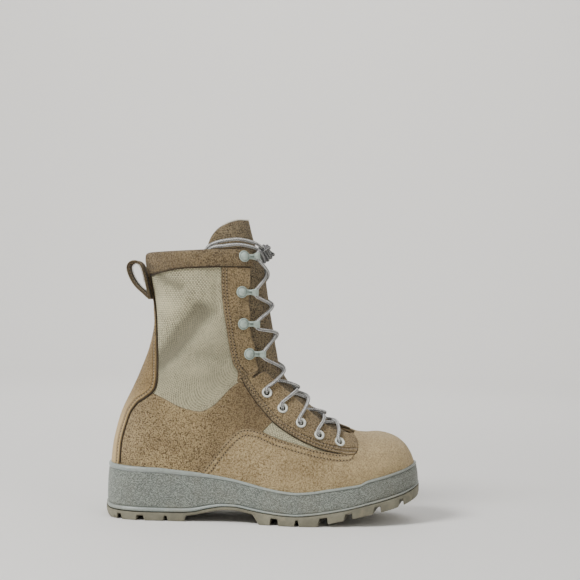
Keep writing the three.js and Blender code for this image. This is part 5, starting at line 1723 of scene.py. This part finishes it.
def make_lace():
    """Both runs of the lace, from the lowest pair of eyelets up to the top hooks."""
    stops = [(p, False) for p in EYELET_PLACES] + [(p, True) for p in HOOK_PLACES]
    starts = {}
    for number, first_way in ((1, -1), (2, 1)):
        points = []
        for i, (place, hook) in enumerate(stops):
            way = first_way if i % 2 == 0 else -first_way
            passing = lace_stop(place, way, hook)
            points += passing[1:] if i == 0 else passing
            if i + 1 == len(stops):
                TOP_ENDS[way] = points[-1]
                continue
            after, after_hook = stops[i + 1]
            over = number == 1
            lift = (-0.8 if over else -3.0) if after_hook else (0.3 if over else -2.5)
            if not hook:
                at = (place[0] + CROSSINGS[i]) / 2
                points.append(spot((at, throat_turn(at) - 0.01), way, 2.9)[0])
            points.append(ridge_spot(CROSSINGS[i], lift))
            if not after_hook:
                at = (4 * after[0] + CROSSINGS[i]) / 5
                points.append(spot((at, min(throat_turn(at) + 0.05, 0.97)), -way, -3.6)[0])
        starts[first_way] = points[0]
        piece, _ = braided(f"lace_run_{number}", points)
        settle(piece, "lace_fabric", *(["lace_crossings"] if number == 1 else []))
    low = (starts[-1] + starts[1]) / 2 + np.array([1.5, 0.0, 1.0])
    bar, _ = braided("lace_bar", [starts[-1], starts[-1] * 0.6 + low * 0.4, low, starts[1] * 0.6 + low * 0.4,
                                  starts[1]])
    settle(bar, "lace_fabric")


KNOT = np.array([-4.6, -2.5, 254.8])
WRAPS = {"lace_wrap_upper": [(-6.5, -5, 259.5), (-9, -9.5, 261.5), (-15, -19, 264.5), (-29, -29, 267),
                             (-44, -32.4, 265), (-54, -31.8, 261.8), (-59.5, -28.5, 257), (-62, -25, 250)],
         "lace_wrap_lower": [(-7, -5.5, 256), (-10, -9.5, 256.6), (-15, -20.5, 259.8), (-29, -30.5, 262),
                             (-44, -34.6, 260.2), (-52, -34, 259), (-57.5, -30.5, 255.5), (-60, -27, 249)],}


def make_knot():
    """The knot in front of the tongue and the two strands wrapped round its outer side."""
    turns = 3
    a = np.linspace(0, 2 * math.pi * turns, 14 * turns + 1)
    step = 3.75 * (a / (2 * math.pi) - turns / 2)
    long_way, wide_way = np.array([0.66, 0.0, -0.75]), np.array([0.75, 0.0, 0.66])
    reach = 7.2 - 0.7 * np.abs(step) / 3
    tie = (np.outer(reach * np.cos(a), long_way) + np.outer(-3.9 * np.sin(a), [0, 1, 0])
           + np.outer(step + 0.5 * np.sin(a), wide_way))
    ends = [TOP_ENDS[way] for way in (-1, 1)]
    first = [ends[0], ends[0] * 0.5 + (KNOT + tie[0]) * 0.5 + np.array([0.5, -1.0, 1.0])]
    last = [ends[1] * 0.5 + (KNOT + tie[-1]) * 0.5 + np.array([1.5, 1.0, 1.0]), ends[1]]
    knot, _ = braided("knot", first + [KNOT + p for p in tie] + last, "Knot braid", 3.8, 0.04)
    settle(knot, "lace_fabric", "lace_knot")
    turn = np.linspace(0.3, 2 * math.pi + 0.9, 16)
    loop = [KNOT + wide_way * (7.4 * math.cos(b) - 0.4) + np.array([0, 6.9 * math.sin(b), 0])
            - long_way * (4.4 - 0.45 * b) for b in turn]
    second, _ = braided("knot_turn", loop, "Knot braid", 3.4, 0.04)
    settle(second, "lace_fabric")
    for name, route in WRAPS.items():
        piece, line = braided(name + "_braid", route)
        settle(piece, "lace_fabric", name)


# ---- Stage and camera ----

def make_camera():
    """Looks along +Y at the outer side, a little above the middle of the boot and rolled."""
    roll = math.radians(1.47)
    right = Vector((math.cos(roll), 0, math.sin(roll)))
    up = Vector((-math.sin(roll), 0, math.cos(roll)))
    back = Vector((0, -1, 0))
    camera = bpy.data.objects.new("Camera", bpy.data.cameras.new("Camera"))
    camera.data.lens = 80.0
    camera.data.sensor_width = 36.0
    camera.data.clip_start = 0.05
    turned = Matrix((right, up, back)).transposed().to_4x4()
    camera.matrix_world = Matrix.Translation((0.0207, -1.25, 0.2201)) @ turned
    bpy.context.scene.collection.objects.link(camera)
    bpy.context.scene.camera = camera


def area_light(name, place, target, size, power):
    light = bpy.data.lights.new(name, "AREA")
    light.energy = power
    light.size = size
    lamp = bpy.data.objects.new(name, light)
    lamp.location = place
    lamp.visible_camera = False
    lamp.rotation_euler = (Vector(target) - Vector(place)).to_track_quat("-Z", "Y").to_euler()
    bpy.context.scene.collection.objects.link(lamp)


def make_stage():
    """A pale round floor that turns up into a wall, and soft light from the upper left."""
    line = [(0.001, 0.0), (0.6, 0.0), (1.9, 0.0)]
    line += [(1.9 + 0.9 * math.sin(a), 0.9 - 0.9 * math.cos(a)) for a in np.linspace(0.12, math.pi / 2, 14)]
    line += [(2.8, 2.3)]
    turn = np.linspace(0, 2 * math.pi, 96, endpoint=False)
    points = [(r * 1000 * math.cos(a), r * 1000 * math.sin(a), z * 1000) for r, z in line for a in turn]
    faces = [f[::-1] for f in tube_faces(len(line), len(turn), False)]
    faces.append(tuple(range(len(turn))))
    floor = shaded("floor", points, faces, finish("Pale floor"))
    look = bpy.context.scene.boot_stage
    area_light("Key light", (-1.25, -0.95, 1.65), (0, 0, 0.12), 0.7, look.key_power)
    area_light("Fill light", (1.1, -1.1, 1.05), (0, 0, 0.12), 0.8, look.fill_power)
    area_light("Top light", (0.45, -0.1, 1.6), (0, 0, 0.12), 1.2, look.top_power)
    area_light("Backdrop light", (0.0, 1.3, 1.7), (0, 2.8, 0.2), 1.4, look.backdrop_power)
    world = bpy.data.worlds.new("Studio air")
    world.use_nodes = True
    background = world.node_tree.nodes["Background"]
    background.inputs["Color"].default_value = (0.93, 0.95, 1.0, 1)
    background.inputs["Strength"].default_value = look.air
    bpy.context.scene.world = world


# ---- The add-on ----

COLOURS = {
    "vamp": (linear(194, 172, 130), "Light suede over the toe and the ball of the foot"),
    "quarter": (linear(200, 175, 128), "Rough suede round the heel and ankle"),
    "collar": (linear(164, 142, 104), "Suede of the collar, facings, eyestays and backstay"),
    "canvas": (linear(210, 202, 166), "Woven cloth of the shaft"),
    "tongue": (linear(162, 143, 110), "Suede of the tongue"),
    "strap": (linear(140, 120, 88), "Pull loop at the heel"),
    "sidewall": (linear(140, 146, 138), "Rubber of the cup sole"),
    "tread": (linear(125, 122, 106), "Rubber of the tread"),
    "fittings": (linear(176, 190, 180), "Paint of the hooks"),
    "lace": (linear(206, 206, 202), "Yarn of the lace"),
}


def colour_property(default, description, name):
    return bpy.props.FloatVectorProperty(
        name=name, description=description, default=default, size=3, min=0.0, max=1.0, subtype="COLOR")


def light_power(name, description, default):
    return bpy.props.FloatProperty(name=name, description=description, default=default, min=0.0, unit="POWER")


class BootColours(bpy.types.PropertyGroup):
    """Colours of the boot's pieces"""

    __annotations__ = {
        key: colour_property(value, text, key.capitalize()) for key, (value, text) in COLOURS.items()
    }


class BootStage(bpy.types.PropertyGroup):
    """Lights round the boot"""

    key_power: light_power("Key light", "Power of the soft light at the upper left", 54.0)
    fill_power: light_power("Fill light", "Power of the soft light at the right", 4.2)
    top_power: light_power("Top light", "Power of the soft light over the boot", 6.0)
    backdrop_power: light_power("Backdrop light", "Power of the soft light on the wall behind", 26.0)
    air: bpy.props.FloatProperty(
        name="Air", description="Strength of the even light from all round", default=0.24,
        min=0.0, subtype="FACTOR")


class BOOT_OT_finishes(bpy.types.Operator):
    """Makes the suede, canvas, rubber, paint and braid materials"""

    bl_idname = "boot.finishes"
    bl_label = "Materials"

    def execute(self, context):
        make_materials(context.scene.boot_colours)
        return {"FINISHED"}


class BOOT_OT_camera(bpy.types.Operator):
    """Places the camera at the boot's outer side"""

    bl_idname = "boot.camera"
    bl_label = "Camera"

    def execute(self, context):
        make_camera()
        return {"FINISHED"}


class BOOT_OT_lace(bpy.types.Operator):
    """Runs the braided lace through the eyelets and hooks"""

    bl_idname = "boot.lace"
    bl_label = "Lace"

    def execute(self, context):
        make_lace()
        return {"FINISHED"}


class BOOT_OT_knot(bpy.types.Operator):
    """Ties the knot and wraps its strands round the tongue"""

    bl_idname = "boot.knot"
    bl_label = "Knot and wraps"

    def execute(self, context):
        make_knot()
        return {"FINISHED"}


class BOOT_OT_sole(bpy.types.Operator):
    """Makes the cup sole, its lugged tread and the footbed"""

    bl_idname = "boot.sole"
    bl_label = "Sole"

    def execute(self, context):
        make_midsole()
        make_outsole()
        make_insole()
        return {"FINISHED"}


class BOOT_OT_upper(bpy.types.Operator):
    """Makes the leather and canvas panels with their seams"""

    bl_idname = "boot.upper"
    bl_label = "Upper panels"

    def execute(self, context):
        make_lining()
        make_canvas()
        make_quarters()
        make_vamp()
        make_facings()
        make_eyestays()
        make_backstay()
        return {"FINISHED"}


class BOOT_OT_collar(bpy.types.Operator):
    """Makes the padded collar band"""

    bl_idname = "boot.collar"
    bl_label = "Collar band"

    def execute(self, context):
        make_collar()
        return {"FINISHED"}


class BOOT_OT_tongue(bpy.types.Operator):
    """Makes the tongue and its lining"""

    bl_idname = "boot.tongue"
    bl_label = "Tongue"

    def execute(self, context):
        make_tongue()
        return {"FINISHED"}


class BOOT_OT_pull_loop(bpy.types.Operator):
    """Folds the pull loop behind the collar"""

    bl_idname = "boot.pull_loop"
    bl_label = "Pull loop"

    def execute(self, context):
        make_pull_loop()
        return {"FINISHED"}


class BOOT_OT_fittings(bpy.types.Operator):
    """Seats the eyelets and hooks"""

    bl_idname = "boot.fittings"
    bl_label = "Eyelets and hooks"

    def execute(self, context):
        make_fittings()
        return {"FINISHED"}


class BOOT_OT_stage(bpy.types.Operator):
    """Lays the floor and hangs the lights"""

    bl_idname = "boot.stage"
    bl_label = "Stage"

    def execute(self, context):
        make_stage()
        return {"FINISHED"}


OPERATORS = (
    BOOT_OT_finishes, BOOT_OT_camera, BOOT_OT_lace, BOOT_OT_knot, BOOT_OT_sole, BOOT_OT_upper,
    BOOT_OT_collar, BOOT_OT_tongue, BOOT_OT_pull_loop, BOOT_OT_fittings, BOOT_OT_stage,
)


class BOOT_PT_panel(bpy.types.Panel):
    """The boot's pieces, colours and lights"""

    bl_idname = "BOOT_PT_panel"
    bl_label = "Combat boot"
    bl_space_type = "VIEW_3D"
    bl_region_type = "UI"
    bl_category = "Boot"

    def draw(self, context):
        column = self.layout.column()
        for key in COLOURS:
            column.prop(context.scene.boot_colours, key)
        for key in ("key_power", "fill_power", "top_power", "backdrop_power", "air"):
            column.prop(context.scene.boot_stage, key)
        for kind in OPERATORS:
            column.operator(kind.bl_idname)


CLASSES = (BootColours, BootStage, *OPERATORS, BOOT_PT_panel)


def register():
    for kind in CLASSES:
        bpy.utils.register_class(kind)
    bpy.types.Scene.boot_colours = bpy.props.PointerProperty(type=BootColours)
    bpy.types.Scene.boot_stage = bpy.props.PointerProperty(type=BootStage)


def unregister():
    del bpy.types.Scene.boot_colours
    del bpy.types.Scene.boot_stage
    for kind in reversed(CLASSES):
        bpy.utils.unregister_class(kind)


def main():
    register()
    for kind in OPERATORS:
        getattr(bpy.ops.boot, kind.bl_idname.split(".")[1])()


if __name__ == "__main__":
    main()
